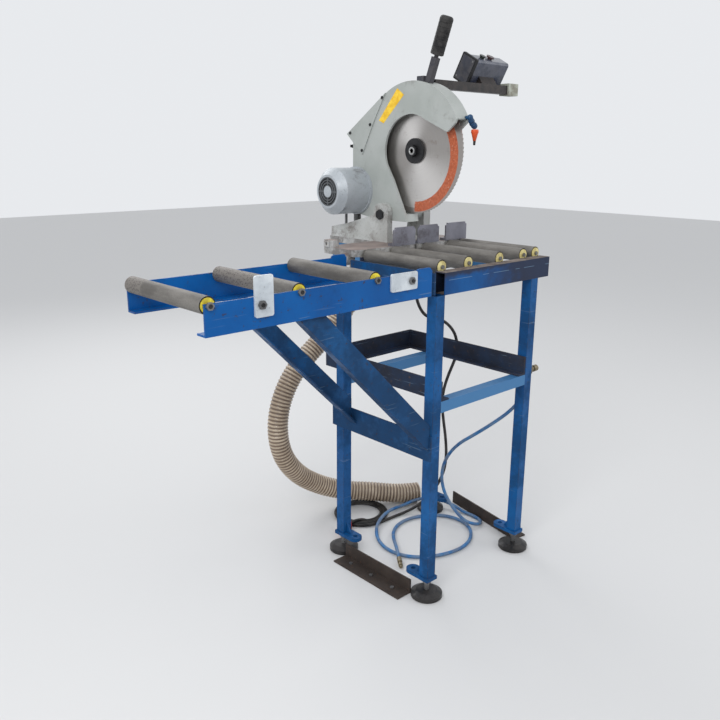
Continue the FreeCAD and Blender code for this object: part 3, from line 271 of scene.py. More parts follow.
class Wiring:
    """Adds nodes to a tree and links them, so that a finish reads from top to bottom."""

    def __init__(self, tree):
        self.tree = tree

    def add(self, kind, **settings):
        node = self.tree.nodes.new(kind)
        for name, value in settings.items():
            setattr(node, name, value)
        return node

    def feed(self, socket, value):
        if isinstance(value, bpy.types.NodeSocket):
            self.tree.links.new(value, socket)
        elif value is not None:
            socket.default_value = value

    def maths(self, operation, first, second=None, clamp=False):
        node = self.add("ShaderNodeMath", operation=operation, use_clamp=clamp)
        self.feed(node.inputs[0], first)
        self.feed(node.inputs[1], second)
        return node.outputs[0]

    def times(self, first, second, clamp=False):
        return self.maths("MULTIPLY", first, second, clamp)

    def plus(self, first, second, clamp=False):
        return self.maths("ADD", first, second, clamp)

    def minus(self, first, second):
        return self.maths("SUBTRACT", first, second)

    def span(self, first, second):
        """How far out a point is, from its two parts at right angles."""
        return self.maths("SQRT", self.plus(self.times(first, first), self.times(second, second)))

    def ramp(self, value, low, high):
        """0 below low, 1 above high, smooth between."""
        node = self.add("ShaderNodeMapRange", interpolation_type="SMOOTHSTEP")
        self.feed(node.inputs["Value"], value)
        self.feed(node.inputs["From Min"], low)
        self.feed(node.inputs["From Max"], high)
        return node.outputs[0]

    def band(self, value, rise, fall):
        """1 between two edges: it comes up over the rise pair and goes down over the fall pair."""
        return self.times(self.ramp(value, rise[0], rise[1]), self.ramp(value, fall[1], fall[0]))

    def blend(self, amount, first, second):
        node = self.add("ShaderNodeMix", data_type="RGBA", blend_type="MIX")
        self.feed(node.inputs[MIX_AMOUNT], amount)
        self.feed(node.inputs[MIX_FIRST], first)
        self.feed(node.inputs[MIX_SECOND], second)
        return node.outputs[MIX_COLOUR]

    def spots(self, place, scale, detail, rough, twist=0.0):
        """Cloudy spots: this many to the metre, with finer ones mixed in by detail and rough."""
        node = self.add("ShaderNodeTexNoise")
        self.feed(node.inputs["Vector"], place)
        self.feed(node.inputs["Scale"], scale)
        self.feed(node.inputs["Detail"], detail)
        self.feed(node.inputs["Roughness"], rough)
        self.feed(node.inputs["Distortion"], twist)
        return node.outputs[0]

    def stretched(self, place, scale):
        """The place with each axis scaled, for streaks and brushing."""
        node = self.add("ShaderNodeMapping")
        self.feed(node.inputs["Vector"], place)
        node.inputs["Scale"].default_value = scale
        return node.outputs[0]

    def group(self, tree, **values):
        node = self.add("ShaderNodeGroup")
        node.node_tree = tree
        for name, value in values.items():
            self.feed(node.inputs[name.replace("_", " ").capitalize()], value)
        return node

    def place(self):
        return self.add("ShaderNodeTexCoord").outputs["Object"]

    def split(self, vector):
        node = self.add("ShaderNodeSeparateXYZ")
        self.feed(node.inputs[0], vector)
        return node.outputs

    def along_x(self, value):
        """A vector with this value along X."""
        node = self.add("ShaderNodeCombineXYZ")
        self.feed(node.inputs[0], value)
        return node.outputs[0]

    def from_centre(self, place, centre):
        """The three parts of a place measured from a centre."""
        node = self.add("ShaderNodeVectorMath", operation="SUBTRACT")
        self.feed(node.inputs[0], place)
        node.inputs[1].default_value = centre
        return self.split(node.outputs[0])

    def facing(self):
        """The three parts of the direction that the surface faces."""
        return self.split(self.add("ShaderNodeNewGeometry").outputs["Normal"])


# ---------------------------------------------------------------- shader groups

def new_group(name, inputs):
    """A shader group that puts out a mask; returns its wiring, its inputs and its mask socket."""
    tree = bpy.data.node_groups.new(name, "ShaderNodeTree")
    for label, kind, value in inputs:
        socket = tree.interface.new_socket(name=label, in_out="INPUT", socket_type=kind)
        if value is not None:
            socket.default_value = value
    tree.interface.new_socket(name="Mask", in_out="OUTPUT", socket_type="NodeSocketFloat")
    wiring = Wiring(tree)
    start = wiring.add("NodeGroupInput").outputs
    mask = wiring.add("NodeGroupOutput").inputs["Mask"]
    return wiring, start, mask


def edge_wear_group():
    """Where paint is rubbed off at edges: a mask from the rounded normal, broken up by spots."""
    w, start, mask = new_group(
        "edge wear",
        [("Place", "NodeSocketVector", None), ("Width", "NodeSocketFloat", 0.003),
         ("Patches", "NodeSocketFloat", 40.0), ("Amount", "NodeSocketFloat", 1.0)])
    rounded = w.add("ShaderNodeBevel", samples=4)
    w.feed(rounded.inputs["Radius"], start["Width"])
    flat = w.add("ShaderNodeNewGeometry")
    aligned = w.add("ShaderNodeVectorMath", operation="DOT_PRODUCT")
    w.feed(aligned.inputs[0], rounded.outputs[0])
    w.feed(aligned.inputs[1], flat.outputs["Normal"])
    edge = w.ramp(w.minus(1.0, aligned.outputs["Value"]), 0.01, 0.16)
    broken = w.ramp(w.spots(start["Place"], start["Patches"], 5.0, 0.62), 0.40, 0.60)
    w.feed(mask, w.times(w.times(edge, broken), start["Amount"], True))
    return w.tree


def grime_group():
    """Patches of dust and grease: soft large patches with finer breaks in them."""
    w, start, mask = new_group(
        "grime",
        [("Place", "NodeSocketVector", None), ("Size", "NodeSocketFloat", 9.0),
         ("Cover", "NodeSocketFloat", 0.5)])
    large = w.spots(start["Place"], start["Size"], 4.0, 0.6, 0.3)
    fine = w.spots(start["Place"], w.times(start["Size"], 9.0), 6.0, 0.7)
    mixed = w.plus(w.times(large, 0.7), w.times(fine, 0.3))
    edge = w.minus(0.80, w.times(start["Cover"], 0.5))
    w.feed(mask, w.ramp(mixed, w.minus(edge, 0.18), edge))
    return w.tree


def scratch_group():
    """Thin scratches running one way, as a mask."""
    w, start, mask = new_group(
        "scratches",
        [("Place", "NodeSocketVector", None), ("Amount", "NodeSocketFloat", 0.5)])
    line = w.ramp(w.spots(start["Place"], 1.0, 2.0, 0.5), 0.64, 0.70)
    gate = w.ramp(w.spots(start["Place"], 0.15, 2.0, 0.5), 0.45, 0.6)
    w.feed(mask, w.times(w.times(line, gate), start["Amount"], True))
    return w.tree


EDGE_WEAR = edge_wear_group()
GRIME = grime_group()
SCRATCHES = scratch_group()


# ---------------------------------------------------------------- finishes

def srgb(red, green, blue):
    """A paint colour given as 0 to 255 in the usual display scale."""
    def linear(value):
        value = value / 255.0
        return value / 12.92 if value <= 0.04045 else ((value + 0.055) / 1.055) ** 2.4
    return (linear(red), linear(green), linear(blue), 1.0)


class Finish:
    """A material around one Principled shader, with its wiring and its place socket."""

    def __init__(self, name, roughness=0.5, metallic=0.0, **constants):
        self.material = bpy.data.materials.new(name)
        self.material.use_nodes = True
        self.shader = self.material.node_tree.nodes["Principled BSDF"]
        self.wiring = Wiring(self.material.node_tree)
        self.place = self.wiring.place()
        self.set("Roughness", roughness)
        self.set("Metallic", metallic)
        for label, value in constants.items():
            self.set(label.replace("_", " "), value)

    def set(self, label, value):
        self.wiring.feed(self.shader.inputs[label], value)

    def bump(self, height, depth, strength=1.0):
        node = self.wiring.add("ShaderNodeBump")
        node.inputs["Strength"].default_value = strength
        node.inputs["Distance"].default_value = depth
        self.wiring.feed(node.inputs["Height"], height)
        self.set("Normal", node.outputs["Normal"])

    def mottle(self, scale, detail, rough, low=0.3, high=0.7):
        """Patches from 0 to 1; the closer low and high are, the harder their edges."""
        return self.wiring.ramp(self.wiring.spots(self.place, scale, detail, rough), low, high)

    def grain(self, scale, detail, rough, depth, strength):
        """A fine bumpy skin all over."""
        self.bump(self.wiring.spots(self.place, scale, detail, rough), depth, strength)

    def grime(self, size, cover):
        return self.wiring.group(GRIME, place=self.place, size=size, cover=cover).outputs["Mask"]

    def wear(self, width, patches, amount):
        return self.wiring.group(EDGE_WEAR, place=self.place, width=width, patches=patches,
                                 amount=amount).outputs["Mask"]

    def scratches(self, scale, amount):
        streak = self.wiring.stretched(self.place, scale)
        return self.wiring.group(SCRATCHES, place=streak, amount=amount).outputs["Mask"]


def painted_steel(name, colour, shade, bare, soot, grime_cover, roughness=0.4):
    """Gloss paint with a little shade in it, brown grime and edges rubbed down to dark steel."""
    made = Finish(name, Coat_Roughness=0.2, Specular_IOR_Level=0.2)
    w = made.wiring
    paint = w.blend(made.mottle(6.0, 5.0, 0.6), shade, colour)
    dirt = made.grime(7.0, grime_cover)
    dirtied = w.blend(w.times(dirt, 0.5), paint, soot)
    flecks = made.mottle(70.0, 7.0, 0.72, 0.60, 0.66)
    dirtied = w.blend(w.times(flecks, 0.75), dirtied, bare)
    lines = made.scratches((9.0, 9.0, 160.0), 0.45)
    scratched = w.blend(lines, dirtied, srgb(110, 132, 152))
    worn = made.wear(0.0028, 26.0, 1.0)
    made.set("Base Color", w.blend(worn, scratched, bare))
    rough = w.plus(roughness, w.times(dirt, 0.34))
    made.set("Roughness", w.plus(rough, w.times(worn, 0.2), True))
    made.set("Coat Weight", w.times(w.minus(1.0, dirt), 0.06))
    made.grain(320.0, 3.0, 0.6, 0.0002, 0.35)
    return made.material


# The front table rail, in row metres: each pair is where a change starts and where it is complete.
# Grease near the top, the light seam line (partly weld marks, partly painted highlight), the tube's bore
# painted dark as shade, and the dark right end.
GREASE_HEIGHT = (1.026, 1.044)
SEAM_BOTTOM = (1.0085, 1.0092)
SEAM_TOP = (1.0101, 1.0108)
BORE_FRONT = (-0.3485, -0.3478)
BORE_BACK = (-0.3158, -0.3152)
BORE_TOP = (1.0290, 1.0300)
DARK_END = (0.33, 0.56)


def near_rail_paint():
    """The table rails: greasy brown top, blue face going dark to the right, a broken light seam that is
    partly painted highlight, and painted shade in the tube's bore.
    """
    made = Finish("near rail paint", Specular_IOR_Level=0.2)
    w = made.wiring
    x, y, z = w.split(made.place)
    paint = w.blend(made.mottle(6.0, 5.0, 0.6), srgb(6, 62, 116), srgb(6, 84, 148))
    drift = w.plus(x, w.times(w.spots(made.place, 14.0, 5.0, 0.65), 0.34))
    uneven_height = w.plus(z, w.times(w.spots(made.place, 30.0, 5.0, 0.6), 0.03))
    dirt = w.maths("MAXIMUM", w.ramp(drift, *DARK_END), w.ramp(uneven_height, *GREASE_HEIGHT))
    dirtied = w.blend(w.times(dirt, 0.85), paint, srgb(46, 46, 54))
    gaps = w.ramp(w.spots(w.stretched(made.place, (13.0, 0.0, 0.0)), 1.0, 1.0, 0.5), 0.47, 0.50)
    # The light dashes along the seam: partly weld marks, partly painted highlight.
    seam = w.times(w.band(z, SEAM_BOTTOM, SEAM_TOP), gaps)
    dirtied = w.blend(w.times(seam, 0.6), dirtied, srgb(112, 142, 168))
    # Painted shade: the inside of the tube's bore is painted near black.
    bore = w.times(w.band(y, BORE_FRONT, BORE_BACK), w.ramp(z, BORE_TOP[1], BORE_TOP[0]))
    dirtied = w.blend(w.times(bore, 0.9), dirtied, srgb(30, 27, 27))
    grease = w.blend(made.mottle(24.0, 6.0, 0.65, 0.35, 0.65), srgb(84, 74, 70), srgb(124, 114, 108))
    topped = w.blend(w.ramp(w.facing()[2], 0.6, 0.9), dirtied, grease)
    worn = made.wear(0.003, 30.0, 0.8)
    made.set("Base Color", w.blend(worn, topped, srgb(74, 68, 68)))
    made.set("Roughness", w.plus(0.42, w.times(dirt, 0.25)))
    made.grain(260.0, 4.0, 0.6, 0.0003, 0.4)
    return made.material


def bare_metal(name, dark, light, roughness, streak, metallic=0.75, grain=0.25, spot=None):
    """Bare or plated metal with a brushed streak, light and dark patches and optional dark spots."""
    made = Finish(name, roughness, metallic)
    w = made.wiring
    patch = made.mottle(18.0, 5.0, 0.6)
    brushed = w.spots(w.stretched(made.place, streak), 1.0, 4.0, 0.6)
    colour = w.blend(w.plus(w.times(patch, 0.5), w.times(brushed, 0.5)), dark, light)
    if spot is not None:
        freckles = made.mottle(140.0, 6.0, 0.7, 0.58, 0.68)
        colour = w.blend(w.times(freckles, 0.7), colour, spot)
    made.set("Base Color", colour)
    made.set("Roughness", w.plus(roughness, w.times(brushed, grain)))
    made.bump(brushed, 0.0002, 0.4)
    return made.material


# The stipple's edge is this wide; the plain rollers' stretch lies far off them.
STIPPLE_EDGE = 0.01
NO_STIPPLE = (9.0, 10.0)


def roller_finish(name, stippled_from, stippled_to):
    """A scuffed roller: taupe galvanised skin, with a stippled stretch between two places along Y, and end
    faces darkened, partly the tube's dark end and partly painted shade.
    """
    made = Finish(name, 0.55, 0.35)
    w = made.wiring
    y = w.split(made.place)[1]
    patch = w.ramp(w.spots(w.stretched(made.place, (30.0, 8.0, 30.0)), 1.0, 6.0, 0.65), 0.3, 0.7)
    colour = w.blend(patch, srgb(94, 91, 87), srgb(128, 125, 120))
    fine = w.spots(made.place, 300.0, 4.0, 0.7)
    colour = w.blend(w.times(w.ramp(fine, 0.45, 0.7), 0.35), colour, srgb(88, 82, 77))
    cells = w.add("ShaderNodeTexVoronoi")
    w.feed(cells.inputs["Vector"], made.place)
    cells.inputs["Scale"].default_value = 210.0
    pits = w.ramp(cells.outputs["Distance"], 0.1, 0.5)
    stretch = w.band(y, (stippled_from, stippled_from + STIPPLE_EDGE),
                     (stippled_to, stippled_to + STIPPLE_EDGE))
    stippled = w.blend(pits, srgb(40, 37, 35), srgb(122, 117, 112))
    colour = w.blend(w.times(stretch, 0.95), colour, stippled)
    # The end faces: partly the tube's own dark end, partly painted shade round the bush.
    end_face_shade = w.ramp(w.maths("ABSOLUTE", w.facing()[1]), 0.7, 0.9)
    made.set("Base Color", w.blend(end_face_shade, colour, srgb(40, 37, 35)))
    made.set("Roughness", w.plus(0.48, w.times(fine, 0.25)))
    made.bump(w.plus(w.times(fine, 0.25), w.times(pits, stretch)), 0.0006, 0.6)
    return made.material


def cast_finish(name, colour, shade, dirt_colour, cover, roughness=0.5, metallic=0.1, speckle=0.3):
    """Painted or bare casting: grainy skin, grime in patches, dark freckles and light edges that are partly
    rubbed paint and partly painted highlight.
    """
    made = Finish(name, roughness, metallic)
    w = made.wiring
    base = w.blend(made.mottle(9.0, 4.0, 0.55), shade, colour)
    dirt = made.grime(16.0, cover)
    base = w.blend(w.times(dirt, 0.7), base, dirt_colour)
    freckles = made.mottle(180.0, 6.0, 0.75, 0.55, 0.68)
    base = w.blend(w.times(freckles, speckle), base, dirt_colour)
    worn = made.wear(0.002, 50.0, 0.35)
    # Light edges: partly rubbed paint, partly painted highlight along the casting's edges.
    made.set("Base Color", w.blend(worn, base, srgb(188, 190, 188)))
    made.set("Roughness", w.plus(roughness, w.times(dirt, 0.25)))
    made.grain(420.0, 4.0, 0.5, 0.0003, 0.55)
    return made.material


def moulded(name, colour, shade, roughness, texture=700.0, depth=0.00012, dust=None, coat=0.0):
    """A plastic or rubber moulding with a fine texture and a little dust."""
    made = Finish(name, roughness, Specular_IOR_Level=0.35)
    w = made.wiring
    base = w.blend(made.mottle(22.0, 4.0, 0.6, 0.35, 0.65), shade, colour)
    if dust is not None:
        base = w.blend(w.times(made.grime(30.0, 0.45), 0.5), base, dust)
    made.set("Base Color", base)
    made.set("Coat Weight", coat)
    grain = w.spots(made.place, texture, 3.0, 0.6)
    made.set("Roughness", w.plus(roughness, w.times(grain, 0.15)))
    made.bump(grain, depth, 0.5)
    return made.material


# The blade's paint and rim, as shares of its radius.
PAINT_DROP = 0.07
PAINT_INSIDE = (0.742, 0.752)
PAINT_OUTSIDE = (0.905, 0.915)
RIM_START = (0.912, 0.922)
# Where the paint stops, in metres behind the hub.
PAINT_STOP = (0.004, 0.010)


def blade_finish(centre, radius):
    """Ground steel disc: rings of grinding, two fan-shaped painted highlights, a worn orange band in front
    and a dull rim.
    """
    made = Finish("blade steel", 0.3, 0.85, Anisotropic=0.7)
    w = made.wiring
    grinding = w.add("ShaderNodeTangent", direction_type="RADIAL", axis="X")
    made.set("Tangent", grinding.outputs[0])
    _, y, z = w.from_centre(made.place, centre)
    distance = w.maths("DIVIDE", w.span(y, z), radius)
    rings = w.spots(w.stretched(w.along_x(distance), (90.0, 90.0, 90.0)), 1.0, 3.0, 0.6)
    # Painted highlight: a light fan-shaped wave round the hub stands in for the reflection on the ground
    # steel.
    fan = w.maths("SINE", w.times(w.plus(w.maths("ARCTAN2", z, y), -0.35), 2.0))
    highlight_fans = w.ramp(w.plus(fan, w.times(w.spots(made.place, 5.0, 3.0, 0.5), 0.4)), -0.6, 1.3)
    steel = w.blend(w.plus(w.times(rings, 0.45), w.times(highlight_fans, 0.55)),
                    srgb(138, 133, 129), srgb(232, 229, 226))
    stain = made.mottle(30.0, 6.0, 0.7, 0.56, 0.7)
    steel = w.blend(w.times(stain, 0.35), steel, srgb(120, 104, 92))
    fray = w.times(w.spots(made.place, 90.0, 5.0, 0.6), 0.016)
    painted = w.plus(w.maths("DIVIDE", w.span(y, w.plus(z, PAINT_DROP * radius)), radius), fray)
    front = w.ramp(w.plus(y, fray), PAINT_STOP[1], PAINT_STOP[0])
    band = w.times(w.band(painted, PAINT_INSIDE, PAINT_OUTSIDE), front)
    orange = w.blend(made.mottle(120.0, 6.0, 0.7, 0.35, 0.65), srgb(160, 78, 48), srgb(192, 104, 70))
    chips = made.mottle(210.0, 5.0, 0.7, 0.60, 0.66)
    orange = w.blend(w.times(chips, 0.6), orange, srgb(226, 190, 168))
    rim = w.ramp(w.plus(distance, fray), *RIM_START)
    colour = w.blend(rim, steel, srgb(166, 160, 156))
    made.set("Base Color", w.blend(band, colour, orange))
    made.set("Metallic", w.minus(0.85, w.times(band, 0.8)))
    rough = w.plus(0.26, w.times(rings, 0.16))
    made.set("Roughness", w.plus(rough, w.times(band, 0.4)))
    made.bump(w.plus(rings, w.times(chips, band)), 0.0002, 0.35)
    return made.material


def hose_finish():
    """Thin brown film over the hose's wire: painted highlight on the ring crests and painted shade in the
    folds.
    """
    made = Finish("hose film", 0.42, 0.0)
    w = made.wiring
    crest = w.add("ShaderNodeAttribute", attribute_name="crest").outputs["Fac"]
    tone = made.mottle(8.0, 4.0, 0.6)
    low = w.blend(tone, srgb(92, 76, 62), srgb(120, 100, 82))
    high = w.blend(tone, srgb(182, 164, 142), srgb(206, 190, 168))
    # Painted highlight on the crests and painted shade in the folds, from the crest values.
    colour = w.blend(w.ramp(crest, 0.1, 0.85), low, high)
    made.set("Base Color", w.blend(w.times(made.grime(14.0, 0.5), 0.35), colour, srgb(104, 84, 66)))
    made.set("Coat Weight", 0.25)
    made.grain(240.0, 3.0, 0.6, 0.0003, 0.4)
    return made.material


def table_finish():
    """The saw table: light cast sides and a brown, oily worked top."""
    made = Finish("saw table casting", 0.5, 0.05)
    w = made.wiring
    tone = made.mottle(14.0, 5.0, 0.6)
    side = w.blend(tone, srgb(150, 150, 148), srgb(190, 190, 188))
    side = w.blend(w.times(made.grime(18.0, 0.45), 0.7), side, srgb(84, 76, 72))
    top = w.blend(tone, srgb(112, 98, 94), srgb(150, 136, 130))
    made.set("Base Color", w.blend(w.ramp(w.facing()[2], 0.6, 0.9), side, top))
    made.set("Roughness", w.plus(0.4, w.times(tone, 0.2)))
    made.grain(320.0, 4.0, 0.6, 0.0003, 0.5)
    return made.material


# The cowl's grille, painted as a dark ring of shade, in metres: its inner and outer edge, and how deep its
# face reaches.
GRILLE_INSIDE = (0.0185, 0.0195)
GRILLE_OUTSIDE = (0.0480, 0.0490)
FACE_DEPTH = (0.003, 0.004)


def cowl_finish(low, high):
    """The fan cowl between two corners: pale speckled casting with a ring of painted shade round its boss,
    over the grille.
    """
    made = Finish("fan cowl casting", 0.4, 0.1)
    w = made.wiring
    x, y, z = w.from_centre(made.place, (low + high) / 2)
    face = (low.x - high.x) / 2
    front = w.ramp(x, face + FACE_DEPTH[1], face + FACE_DEPTH[0])
    shade = w.times(front, w.band(w.span(y, z), GRILLE_INSIDE, GRILLE_OUTSIDE))
    casting = w.blend(made.mottle(12.0, 4.0, 0.6), srgb(160, 166, 171), srgb(182, 188, 193))
    freckles = made.mottle(190.0, 6.0, 0.75, 0.55, 0.66)
    casting = w.blend(w.times(freckles, 0.5), casting, srgb(98, 98, 100))
    # Painted shade: the grille's ring is painted near black where the slots lie.
    made.set("Base Color", w.blend(w.times(shade, 0.86), casting, srgb(44, 45, 48)))
    made.grain(420.0, 4.0, 0.6, 0.0003, 0.5)
    return made.material


# Between these places along X the bushes change from the infeed's colour to the table's.
TABLE_BUSHES = (-0.1, 0.0)


def bush_finish():
    """Roller bushes: bright yellow on the infeed, paler and oilier at the table."""
    made = Finish("roller bush", 0.42)
    w = made.wiring
    x = w.split(made.place)[0]
    tone = made.mottle(60.0, 4.0, 0.6, 0.35, 0.65)
    bright = w.blend(tone, srgb(226, 200, 40), srgb(244, 224, 62))
    pale = w.blend(tone, srgb(206, 190, 122), srgb(232, 220, 156))
    colour = w.blend(w.ramp(x, *TABLE_BUSHES), bright, pale)
    made.set("Base Color", w.blend(w.times(made.grime(40.0, 0.4), 0.45), colour, srgb(116, 98, 56)))
    made.grain(500.0, 3.0, 0.6, 0.0002, 0.4)
    return made.material


def label_finish():
    """A yellow sticker with faint rubbed bands and no lettering."""
    made = Finish("yellow label", 0.4)
    w = made.wiring
    tone = made.mottle(60.0, 5.0, 0.6, 0.35, 0.65)
    base = w.blend(tone, srgb(226, 176, 22), srgb(246, 206, 60))
    rubbed = w.ramp(w.spots(w.stretched(made.place, (60.0, 260.0, 260.0)), 1.0, 5.0, 0.7), 0.60, 0.70)
    made.set("Base Color", w.blend(w.times(rubbed, 0.5), base, srgb(150, 118, 40)))
    made.bump(tone, 0.0001, 0.3)
    return made.material


RUSTY = srgb(56, 44, 40)

BLUE = painted_steel("blue stand paint", srgb(6, 88, 150), srgb(10, 72, 126), RUSTY,
                     soot=srgb(24, 50, 78), grime_cover=0.42)
RAIL_SIDE = painted_steel("clean rail paint", srgb(0, 88, 158), srgb(0, 76, 142), RUSTY,
                          soot=srgb(20, 56, 96), grime_cover=0.15)
# A darker copy of the stand blue: painted shade on the braces and side plates.
SHADED_BLUE = painted_steel("shaded blue paint", srgb(14, 80, 134), srgb(12, 62, 104), RUSTY,
                          soot=srgb(28, 42, 62), grime_cover=0.50)
DIRTY_BLUE = painted_steel("grimy shelf paint", srgb(30, 74, 116), srgb(36, 46, 60), srgb(84, 70, 62),
                           soot=srgb(52, 44, 42), grime_cover=0.9, roughness=0.5)
RAIL_BLUE = near_rail_paint()

RAW_STEEL = bare_metal("raw dark steel", srgb(44, 37, 34), srgb(78, 68, 62), roughness=0.55,
                       streak=(20.0, 90.0, 90.0), metallic=0.35, spot=srgb(104, 72, 52))
ZINC = bare_metal("zinc plate", srgb(168, 176, 184), srgb(226, 232, 236), roughness=0.38,
                  streak=(30.0, 30.0, 60.0), metallic=0.25, spot=srgb(128, 130, 134))
BOLT = bare_metal("bolt steel", srgb(80, 80, 82), srgb(150, 150, 150), roughness=0.35,
                  streak=(120.0, 120.0, 120.0), metallic=0.8, spot=srgb(60, 52, 46))
TURNED = bare_metal("turned steel", srgb(150, 150, 150), srgb(210, 210, 208), roughness=0.22,
                    streak=(20.0, 300.0, 300.0), metallic=0.95)
OXIDE = bare_metal("blackened steel", srgb(24, 24, 26), srgb(58, 58, 60), roughness=0.34,
                   streak=(200.0, 60.0, 60.0), metallic=0.55)
BRASS = bare_metal("dull fitting metal", srgb(92, 84, 70), srgb(158, 146, 120), roughness=0.36,
                   streak=(90.0, 90.0, 90.0), metallic=0.85, spot=srgb(60, 52, 44))

ROLLER = roller_finish("roller skin", *NO_STIPPLE)
FIRST_ROLLER = roller_finish("first roller skin", -0.085, 0.02)
SECOND_ROLLER = roller_finish("second roller skin", -0.215, 0.02)

CAST = cast_finish("saw base casting", srgb(190, 192, 190), srgb(166, 167, 164), srgb(96, 84, 78),
                   cover=0.30, roughness=0.55, metallic=0.05, speckle=0.5)
FENCE = cast_finish("fence steel", srgb(140, 140, 150), srgb(112, 112, 122), srgb(78, 74, 78),
                    cover=0.30, roughness=0.42, metallic=0.45, speckle=0.25)
HEAD = cast_finish("head paint", srgb(170, 174, 171), srgb(158, 163, 159), srgb(128, 128, 124),
                   cover=0.16, roughness=0.42, metallic=0.02, speckle=0.10)
MOTOR = cast_finish("motor casting", srgb(182, 188, 194), srgb(164, 170, 175), srgb(104, 102, 102),
                    cover=0.20, roughness=0.38, metallic=0.12, speckle=0.42)
LIGHT_CAST = cast_finish("end block casting", srgb(180, 184, 172), srgb(150, 154, 142),
                         srgb(112, 104, 90), cover=0.35)
TABLE = table_finish()

RUBBER = moulded("black foot rubber", srgb(17, 17, 20), srgb(9, 9, 11), roughness=0.42,
                 texture=420.0, depth=0.0003, dust=srgb(58, 54, 52), coat=0.2)
GRIP = moulded("handle grip", srgb(24, 24, 27), srgb(14, 14, 17), roughness=0.55,
               texture=900.0, depth=0.0002, dust=srgb(70, 68, 66))
BLACK = moulded("black arm paint", srgb(22, 19, 21), srgb(14, 12, 14), roughness=0.42,
                texture=300.0, depth=0.0002, dust=srgb(62, 52, 48), coat=0.1)
BAR = moulded("dull handle bar", srgb(50, 53, 64), srgb(40, 42, 52), roughness=0.40,
              texture=300.0, depth=0.0002, dust=srgb(84, 80, 80), coat=0.1)
BOX = moulded("switch box moulding", srgb(62, 68, 86), srgb(50, 55, 70), roughness=0.2,
              texture=500.0, depth=0.00005, dust=srgb(96, 98, 108), coat=0.5)
FLANGE = moulded("black moulding", srgb(30, 30, 33), srgb(20, 20, 22), roughness=0.42,
                 texture=600.0, depth=0.0001)
GREEN = moulded("dark green button", srgb(22, 36, 28), srgb(16, 28, 22), roughness=0.3, coat=0.3)
STOP_RED = moulded("dark red button", srgb(58, 22, 22), srgb(44, 18, 18), roughness=0.3, coat=0.3)
RED = moulded("red moulding", srgb(176, 34, 26), srgb(140, 24, 20), roughness=0.34, coat=0.3,
              dust=srgb(110, 70, 60))
JOINT_BLUE = moulded("blue segment", srgb(26, 78, 120), srgb(18, 58, 94), roughness=0.36, coat=0.2)
ORANGE = moulded("orange nozzle", srgb(232, 96, 48), srgb(208, 78, 34), roughness=0.36, coat=0.2)
AIR_BLUE = moulded("air hose rubber", srgb(52, 116, 172), srgb(36, 92, 146), roughness=0.42,
                   texture=380.0, depth=0.0002, dust=srgb(128, 132, 132))
CABLE = moulded("cable sheath", srgb(26, 26, 28), srgb(16, 16, 18), roughness=0.42,
                texture=500.0, depth=0.00015, dust=srgb(74, 70, 66))
BELT = moulded("belt rubber", srgb(30, 30, 30), srgb(20, 20, 20), roughness=0.7)
BUSH = bush_finish()
HOSE = hose_finish()
LABEL = label_finish()

# ---------------------------------------------------------------- cords

HOSE_RADIUS = 0.038
HOSE_WALL = 0.0055
HOSE_FOLD = 0.0034
HOSE_RING_GAP = 0.0126
STEPS_EACH_RING = 6
HOSE_SIDES = 40
AIR_RADIUS = 0.006
CABLE_RADIUS = 0.0055

HOSE_ROUTE = [
    (0.320, 0.665, 1.001), (0.320, 0.665, 0.945), (0.308, 0.670, 0.882), (0.278, 0.676, 0.816),
    (0.228, 0.686, 0.750), (0.164, 0.695, 0.690), (0.096, 0.701, 0.638), (0.032, 0.704, 0.582),
    (-0.016, 0.704, 0.512), (-0.043, 0.703, 0.434), (-0.046, 0.703, 0.354), (-0.026, 0.705, 0.278),
    (0.016, 0.708, 0.212), (0.072, 0.710, 0.156), (0.136, 0.702, 0.112), (0.200, 0.682, 0.080),
    (0.260, 0.648, 0.063), (0.320, 0.604, 0.0575), (0.376, 0.560, 0.048), (0.432, 0.524, 0.040),
    (0.488, 0.498, 0.0384)]

AIR_ROUTE = [
    (0.508, 0.020, 0.640), (0.508, 0.020, 0.600), (0.503, 0.036, 0.552), (0.482, 0.070, 0.496),
    (0.448, 0.114, 0.448), (0.430, 0.178, 0.392), (0.424, 0.250, 0.335), (0.426, 0.304, 0.264),
    (0.432, 0.328, 0.190), (0.440, 0.324, 0.130), (0.448, 0.300, 0.082), (0.454, 0.264, 0.046),
    (0.455, 0.2235, 0.027), (0.4705, 0.1995, 0.019), (0.496, 0.1908, 0.0115), (0.522, 0.1995, 0.0075),
    (0.5385, 0.223, 0.007), (0.541, 0.262, 0.007), (0.537, 0.304, 0.009), (0.528, 0.347, 0.024),
    (0.514, 0.392, 0.032), (0.494, 0.436, 0.032), (0.452, 0.470, 0.027), (0.402, 0.484, 0.015),
    (0.352, 0.487, 0.016), (0.304, 0.478, 0.022), (0.254, 0.462, 0.022), (0.200, 0.434, 0.017),
    (0.156, 0.390, 0.008), (0.127, 0.336, 0.007), (0.117, 0.278, 0.007), (0.130, 0.224, 0.007),
    (0.164, 0.180, 0.007), (0.214, 0.149, 0.007), (0.270, 0.130, 0.007), (0.328, 0.126, 0.007),
    (0.384, 0.140, 0.007), (0.432, 0.172, 0.007), (0.464, 0.212, 0.007), (0.478, 0.260, 0.007),
    (0.470, 0.310, 0.007), (0.442, 0.352, 0.007), (0.394, 0.386, 0.007), (0.336, 0.404, 0.007),
    (0.276, 0.399, 0.007), (0.222, 0.370, 0.008), (0.180, 0.326, 0.014), (0.149, 0.286, 0.021),
    (0.122, 0.250, 0.021), (0.096, 0.216, 0.016)]

